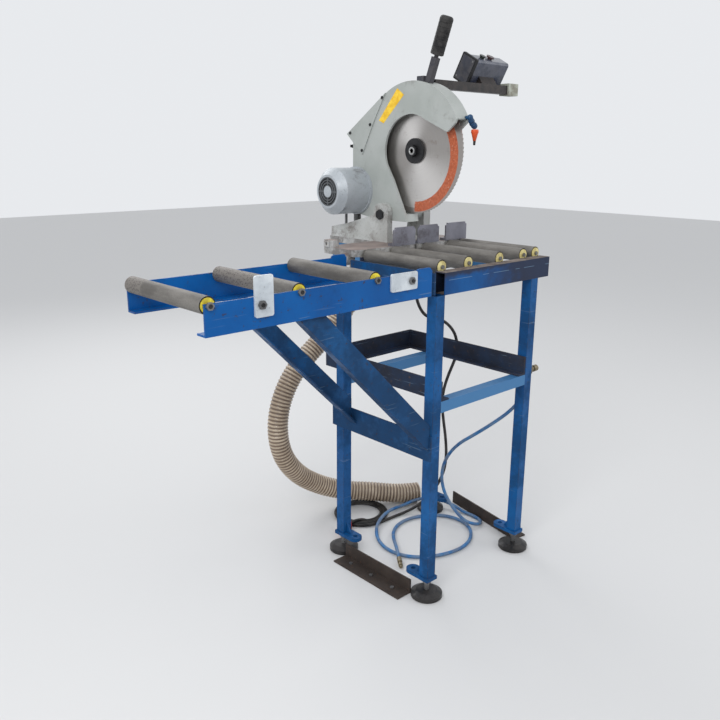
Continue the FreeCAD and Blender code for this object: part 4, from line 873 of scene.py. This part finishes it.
CABLE_ROUTE = [
    (0.318, 0.372, 1.030), (0.318, 0.372, 0.980), (0.314, 0.374, 0.926), (0.320, 0.376, 0.868),
    (0.343, 0.371, 0.820), (0.382, 0.375, 0.792), (0.426, 0.374, 0.782), (0.462, 0.360, 0.766),
    (0.480, 0.334, 0.734), (0.482, 0.318, 0.694), (0.478, 0.314, 0.652), (0.474, 0.328, 0.610),
    (0.473, 0.348, 0.562), (0.473, 0.366, 0.508), (0.472, 0.372, 0.450), (0.471, 0.360, 0.385),
    (0.471, 0.346, 0.320), (0.470, 0.338, 0.255), (0.465, 0.340, 0.195), (0.455, 0.354, 0.145),
    (0.442, 0.374, 0.098), (0.425, 0.402, 0.056), (0.402, 0.428, 0.025), (0.370, 0.446, 0.009),
    (0.330, 0.453, 0.006), (0.288, 0.455, 0.006), (0.246, 0.4558, 0.006)]

COIL_CENTRE = (0.243, 0.562)
COIL_START_RADIUS = 0.1062
COIL_START_ANGLE = math.radians(-90.0)
COIL_TURNS = 3.04
COIL_STEPS = 14
COIL_PITCH = CABLE_RADIUS * 2.06
COIL_SWAY = 0.0008
COIL_LIFT = 0.0006
COIL_WAVE = 0.0012
CABLE_END = [(0.196, 0.507, 0.0155), (0.158, 0.516, 0.0175), (0.118, 0.5155, 0.015)]


def coil_points():
    """The cable's turns, wound inwards, each turn a cable's width inside the last and a little uneven."""
    points = []
    for step in range(1, round(COIL_TURNS * COIL_STEPS) + 1):
        turned = step / COIL_STEPS
        angle = COIL_START_ANGLE - math.tau * turned
        radius = COIL_START_RADIUS - turned * COIL_PITCH
        radius /= math.cos(math.pi / COIL_STEPS)
        radius += COIL_SWAY * math.sin(angle * 2.0 + turned)
        wave = COIL_WAVE * (1.0 + math.sin(angle * 3.0 + turned * 1.7))
        points.append((COIL_CENTRE[0] + radius * math.cos(angle),
                       COIL_CENTRE[1] + radius * math.sin(angle), CABLE_RADIUS + COIL_LIFT + wave))
    return points


def ringed_hose(route):
    """The suction hose: a film sleeve whose rings follow the hose's line."""
    line = even_steps(curve_line(route), HOSE_RING_GAP / STEPS_EACH_RING)
    crests = [0.5 + 0.5 * math.cos(math.tau * n / STEPS_EACH_RING) for n in range(len(line))]
    radii = [HOSE_RADIUS - HOSE_FOLD * (1.0 - crest) for crest in crests]
    mesh = swept_tube(line, radii, HOSE_SIDES, HOSE_RADIUS - HOSE_WALL)
    crest = mesh.attributes.new("crest", "FLOAT", "POINT")
    outside = [value for value in crests for _ in range(HOSE_SIDES)]
    crest.data.foreach_set("value", outside + [0.0] * len(outside))
    hose = piece("suction_hose_rings", mesh, HOSE, "stand")
    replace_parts(hose, "suction_hose")


def plain_cord(name, route, radius, material, slot, nodes, **facts):
    """A smooth round cord on its route."""
    made = route_curve(name, route, radius)
    made.data.materials.append(material)
    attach(made, "stand")
    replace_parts(made, *nodes)
    round(line_length(curve_line(route)), 3)


def cords():
    ringed_hose([at(*point) for point in HOSE_ROUTE])
    plain_cord("air_hose_line", [at(*point) for point in AIR_ROUTE], AIR_RADIUS, AIR_BLUE, "air_blue",
               ["air_hose"], far_end="connector", stiffness="medium", lay="loose",
               with_pieces=[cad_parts["air_coupling"]])
    route = [at(*point) for point in CABLE_ROUTE + coil_points() + CABLE_END]
    plain_cord("power_cable_line", route, CABLE_RADIUS, CABLE, "cable_black", ["power_cable", "cable_coil"],
               far_end="plug", stiffness="medium", lay="coiled",
               with_pieces=[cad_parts["cable_plug"]])


# ---------------------------------------------------------------- finishes on the CAD nodes

BLADE_LOW, BLADE_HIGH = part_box("saw_blade")
HUB = (BLADE_LOW + BLADE_HIGH) / 2
BLADE_RADIUS = (BLADE_HIGH.z - BLADE_LOW.z) / 2
BLADE = blade_finish(HUB, BLADE_RADIUS)
COWL_LOW, COWL_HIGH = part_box("fan_cowl")
COWL = cowl_finish(COWL_LOW, COWL_HIGH)


def dress():
    """Gives each CAD node its finish; the first two infeed rollers come last and take their own."""
    finishes = {
        BLUE: ["legs", "foot_plates"],
        RAIL_SIDE: ["infeed_rails"],
        SHADED_BLUE: ["braces", "side_plates"],
        RAIL_BLUE: ["table_rails"],
        DIRTY_BLUE: ["shelf_angles"],
        RAW_STEEL: ["floor_angles", "dust_outlet"],
        ZINC: ["stop_plate_left", "stop_plate_right"],
        BOLT: ["levelling_spindles", "roller_axles", "frame_bolts", "head_stops"],
        TURNED: ["bearings", "spindle", "motor_rotor"],
        OXIDE: ["blade_flanges", "head_screws", "pivot_bolt"],
        BRASS: ["air_fitting", "air_coupling"],
        CAST: ["fork"],
        TABLE: ["saw_table"],
        FENCE: ["fence_plates"],
        HEAD: ["head_casting", "chute_plate", "belt_cover"],
        MOTOR: ["motor_housing"],
        COWL: ["fan_cowl"],
        LIGHT_CAST: ["arm_end_block"],
        BUSH: ["roller_bushes"],
        RUBBER: ["levelling_pads"],
        GRIP: ["handle_grip"],
        BLACK: ["switch_arm"],
        BAR: ["handle_bar"],
        BOX: ["switch_box"],
        FLANGE: ["switch_flange", "cable_gland"],
        GREEN: ["start_button"],
        STOP_RED: ["stop_button"],
        RED: ["cable_plug"],
        JOINT_BLUE: ["nozzle_joints"],
        ORANGE: ["nozzle_tip"],
        BELT: ["drive_belt"],
        ROLLER: [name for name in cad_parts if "_roller_" in name],
        FIRST_ROLLER: ["infeed_roller_1"],
        SECOND_ROLLER: ["infeed_roller_2"],
    }
    for material, names in finishes.items():
        for name in names:
            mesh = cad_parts[name].data
            mesh.materials.clear()
            mesh.materials.append(material)


# ---------------------------------------------------------------- pieces on the head

HEAD_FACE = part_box("head_casting")[0].x
LABEL_CORNERS = [(0.427, 1.554), (0.397, 1.533), (0.488, 1.447), (0.510, 1.457)]
LABEL_THICK = 0.0006


def yellow_label():
    """The plain yellow sticker on the head's near side."""
    outline = [Vector((HEAD_FACE, y + STAND_CORNER.y, z)) for y, z in LABEL_CORNERS]
    label = plate("label", outline, (-1, 0, 0), LABEL_THICK)
    piece("yellow_label", label, LABEL, "head", False)


TOOTH_COUNT = 96
TOOTH_RISE = 0.0026
# A tooth's corners: the share of the pitch that is turned, and how far the corner is below the tip.
TOOTH_CORNERS = [(0.0, 0.0), (0.12, TOOTH_RISE), (0.5, TOOTH_RISE * 0.8), (0.97, 0.0002)]
DISC_RINGS = (1.0, 0.9, 0.6, 0.3)
BORE_SHARE = 0.17


def disc_ring(shape, offset, corners):
    """Points round the hub from (turn, radius) pairs, this far along the arbor."""
    return [shape.verts.new(HUB + Vector((offset, math.sin(turn) * radius, math.cos(turn) * radius)))
            for turn, radius in corners]


def fine_blade():
    """The blade as a thin disc with fine raked teeth and a bore."""
    half = (BLADE_HIGH.x - BLADE_LOW.x) / 2
    spindle_low, spindle_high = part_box("spindle")
    bore = (spindle_high.z - spindle_low.z) * BORE_SHARE
    pitch = math.tau / TOOTH_COUNT
    rim = [(pitch * (tooth + share), BLADE_RADIUS - drop)
           for tooth in range(TOOTH_COUNT) for share, drop in TOOTH_CORNERS]
    shape = bmesh.new()
    faces = []
    for offset in (-half, half):
        rings = [disc_ring(shape, offset, [(turn, radius * share) for turn, radius in rim])
                 for share in DISC_RINGS]
        rings.append(disc_ring(shape, offset, [(turn, bore) for turn, _ in rim]))
        for outer, inner in zip(rings, rings[1:]):
            join_rings(shape, outer, inner)
        faces.append(rings)
    near, far = faces
    for edge in (0, -1):
        join_rings(shape, near[edge], far[edge])
    bmesh.ops.recalc_face_normals(shape, faces=shape.faces)
    blade = piece("blade_disc", finished_mesh("blade", shape), BLADE, "blade_spindle", False)
    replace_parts(blade, "saw_blade")


WASHER_PROFILE = [(0.0, 0.0), (0.0, 0.0105), (0.0008, 0.0118), (0.0016, 0.0112), (0.0016, 0.0078),
                  (0.0010, 0.0070), (0.0010, 0.0)]


def arbor_washer():
    """The bright dished washer on the arbor's nut."""
    nut_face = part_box("blade_flanges")[0].x
    washer = lathe("washer", WASHER_PROFILE, (nut_face, HUB.y, HUB.z), (-1, 0, 0))
    piece("arbor_washer", washer, TURNED, "blade_spindle", False)


BALL_RADIUS = 0.0095
STUB_LENGTH = 0.016
STUB_RADIUS = 0.0058
# A socket collar's outline: shares of its run, and radii.
COLLAR = [(0.0, 0.0070), (0.25, 0.0082), (0.55, 0.0098), (0.7, 0.0101), (0.72, 0.0)]
CONE_TIP_GAP = 0.013
JOINTS_LOW, JOINTS_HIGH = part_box("nozzle_joints")
TIP_LOW, TIP_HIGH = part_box("nozzle_tip")
TIP = (TIP_LOW + TIP_HIGH) / 2


def nozzle_segments():
    """Blue balls, each with a socket collar that runs to it, and the stub they start from."""
    corner = Vector((JOINTS_LOW.x + BALL_RADIUS, JOINTS_LOW.y + BALL_RADIUS, JOINTS_HIGH.z))
    centres = [corner + Vector((0.0005, 0.004, -0.010)),
               Vector((TIP.x - 0.009, TIP.y + 0.004, JOINTS_HIGH.z - 0.027)),
               Vector((TIP.x - 0.002, TIP.y + 0.001, JOINTS_LOW.z + 0.010))]
    shape = bmesh.new()
    for centre in centres:
        bmesh.ops.create_uvsphere(shape, u_segments=28, v_segments=16, radius=BALL_RADIUS,
                                  matrix=Matrix.Translation(centre))
    balls = piece("nozzle_balls", finished_mesh("balls", shape), JOINT_BLUE, "head")
    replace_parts(balls, "nozzle_joints")
    starts = [centres[0] + Vector((0, STUB_LENGTH, 0.0))] + centres
    for number, (start, end) in enumerate(zip(starts, centres), 1):
        run = end - start
        if number == 1:
            outline = [(0.0, STUB_RADIUS), (run.length, STUB_RADIUS), (run.length, 0.0)]
        else:
            outline = [(run.length * share, radius) for share, radius in COLLAR]
        mesh = lathe("socket", [(0.0, 0.0)] + outline, start, run, 28)
        piece(f"nozzle_socket_{number}", mesh, JOINT_BLUE, "head")


def nozzle_cone():
    """The orange cone and its dark end."""
    drop = TIP_HIGH.z - TIP_LOW.z - CONE_TIP_GAP
    profile = [(0.0, 0.0), (0.0, 0.0105), (0.004, 0.0118), (0.010, 0.0116), (0.013, 0.0098),
               (drop, 0.0046), (drop + 0.001, 0.0)]
    cone = lathe("cone", profile, (TIP.x, TIP.y, TIP_HIGH.z), (0, 0, -1), 32)
    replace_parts(piece("nozzle_cone", cone, ORANGE, "head"), "nozzle_tip")
    profile = [(0.0, 0.0), (0.0, 0.0043), (0.0115, 0.0034), (0.0125, 0.0026), (0.0125, 0.0)]
    end = lathe("end", profile, (TIP.x, TIP.y, TIP_LOW.z + 0.0128), (0, 0, -1), 24)
    piece("nozzle_end", end, FLANGE, "head")


FAN_PROFILE = [(0.0, 0.0), (0.0, 0.049), (0.0015, 0.050), (0.003, 0.049), (0.003, 0.0)]
FAN_DEPTH = 0.0042


def fan_shade():
    """A dark disc close behind the cowl's slots: painted shade inside the cowl."""
    centre = (COWL_LOW + COWL_HIGH) / 2
    disc = lathe("shade", FAN_PROFILE, (COWL_LOW.x + FAN_DEPTH, centre.y, centre.z), (1, 0, 0))
    piece("fan_shade", disc, OXIDE, "head")


HANDLE_FOOT = at(0.281, 0.310, 1.562)
HANDLE_LEAN = math.radians(20.0)
GRIP_START = 0.088
GRIP_LENGTH = 0.112
GRIP_RADIUS = 0.021
GROOVE_COUNT = 7
GROOVE_DEPTH = 0.0008
FIRST_GROOVE = 0.012
GROOVED_LENGTH = GRIP_LENGTH - 0.030


def grip_sleeve():
    """The rubber grip: rounded ends and shallow grooves round it."""
    along = Vector((0.0, -math.sin(HANDLE_LEAN), math.cos(HANDLE_LEAN)))
    bottom = GRIP_RADIUS - GROOVE_DEPTH
    profile = [(0.0, 0.0), (0.0, GRIP_RADIUS - 0.003), (0.002, GRIP_RADIUS)]
    for n in range(GROOVE_COUNT):
        middle = FIRST_GROOVE + n * GROOVED_LENGTH / (GROOVE_COUNT - 1)
        profile += [(middle - 0.0012, GRIP_RADIUS), (middle - 0.0005, bottom),
                    (middle + 0.0005, bottom), (middle + 0.0012, GRIP_RADIUS)]
    profile += [(GRIP_LENGTH - 0.008, GRIP_RADIUS), (GRIP_LENGTH - 0.003, GRIP_RADIUS - 0.0018),
                (GRIP_LENGTH, GRIP_RADIUS - 0.006), (GRIP_LENGTH, 0.0)]
    mesh = lathe("grip", profile, HANDLE_FOOT + along * GRIP_START, along, 40)
    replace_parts(piece("grip_sleeve", mesh, GRIP, "head", False), "handle_grip")


BOX_PLACE = at(0.512, 0.3595, 1.625)
BOX_TURN = math.radians(28.5)
END_PLATE_LOW = (-0.0014, -0.0275, -0.0400)
END_PLATE_HIGH = (0.0004, 0.0275, 0.0400)
END_PLATE_EDGE = 0.0006
SCREW_PLACES = [(-0.0013, -0.021, 0.033), (-0.0013, 0.021, -0.033)]
SCREW_PROFILE = [(0.0, 0.0), (0.0, 0.0034), (0.0009, 0.0030), (0.0013, 0.0018), (0.0013, 0.0)]


def box_trim():
    """The switch box's end plate with its two screws."""
    turn = Matrix.Translation(BOX_PLACE) @ Matrix.Rotation(BOX_TURN, 4, "X")
    mesh = rounded_slab("end plate", END_PLATE_LOW, END_PLATE_HIGH, END_PLATE_EDGE)
    mesh.transform(turn)
    piece("box_end_plate", mesh, BAR, "head", False)
    for number, place in enumerate(SCREW_PLACES, 1):
        screw = lathe("screw", SCREW_PROFILE, (0, 0, 0), (-1, 0, 0), 20)
        screw.transform(turn @ Matrix.Translation(place))
        piece(f"box_screw_{number}", screw, BOLT, "head", False)


# ---------------------------------------------------------------- pieces on the stand

ROLLER_BOLTS = [(-0.733, 1.041), (-0.483, 1.041), (-0.233, 1.041)]
STOP_BOLTS = [(-0.600, 1.027), (-0.110, 1.027)]
STUD_PROFILE = [(0.0, 0.0), (0.0, 0.0052), (0.0014, 0.0050), (0.0022, 0.0038), (0.0014, 0.0026),
                (0.0006, 0.0)]


def stud_ends():
    """The thread end that shows in the middle of each near bolt head."""
    places = [(x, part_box("roller_axles")[0].y, z) for x, z in ROLLER_BOLTS]
    places += [(x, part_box("frame_bolts")[0].y, z) for x, z in STOP_BOLTS]
    for number, (x, front, z) in enumerate(places, 1):
        mesh = lathe("stud", STUD_PROFILE, (x + STAND_CORNER.x, front, z), (0, -1, 0), 20)
        piece(f"stud_end_{number}", mesh, OXIDE, "stand", False)


# ---------------------------------------------------------------- floor and light

FLOOR_HALF = 14.0
FLOOR_GREY = (0.62, 0.62, 0.62, 1.0)
ROOM_TINT = (0.95, 0.97, 1.0, 1.0)
ROOM_STRENGTH = 0.85
LAMP_AIM = Vector((0.0, 0.0, 0.8))
# Each lamp: its name, place, width in metres and power in watts.
LAMPS = [("key", (-2.8, -1.6, 3.2), 2.0, 75.0),
         ("fill", (2.6, -2.6, 2.6), 2.6, 22.0),
         ("back", (0.8, 3.0, 3.2), 2.4, 45.0)]


def pale_floor():
    mesh = bpy.data.meshes.new("floor")
    corners = [(-1, -1), (1, -1), (1, 1), (-1, 1)]
    mesh.from_pydata([(x * FLOOR_HALF, y * FLOOR_HALF, 0.0) for x, y in corners], [], [(0, 1, 2, 3)])
    floor = bpy.data.objects.new("floor", mesh)
    bpy.context.scene.collection.objects.link(floor)
    pale = bpy.data.materials.new("pale floor")
    pale.use_nodes = True
    shader = pale.node_tree.nodes["Principled BSDF"]
    shader.inputs["Base Color"].default_value = FLOOR_GREY
    shader.inputs["Roughness"].default_value = 0.7
    mesh.materials.append(pale)


def studio_light():
    """An even pale room and three soft lamps."""
    world = bpy.data.worlds.new("studio")
    world.use_nodes = True
    background = world.node_tree.nodes["Background"]
    background.inputs["Color"].default_value = ROOM_TINT
    background.inputs["Strength"].default_value = ROOM_STRENGTH
    bpy.context.scene.world = world
    for name, place, size, power in LAMPS:
        light = bpy.data.lights.new(name, "AREA")
        light.size = size
        light.energy = power
        lamp = bpy.data.objects.new(name, light)
        bpy.context.scene.collection.objects.link(lamp)
        lamp.location = place
        lamp.rotation_mode = "QUATERNION"
        lamp.rotation_quaternion = (LAMP_AIM - Vector(place)).to_track_quat("-Z", "Y")
    bpy.context.scene.view_settings.view_transform = "Standard"


make_camera()
cords()
dress()
fine_blade()
yellow_label()
arbor_washer()
nozzle_segments()
nozzle_cone()
fan_shade()
grip_sleeve()
box_trim()
stud_ends()
pale_floor()
studio_light()
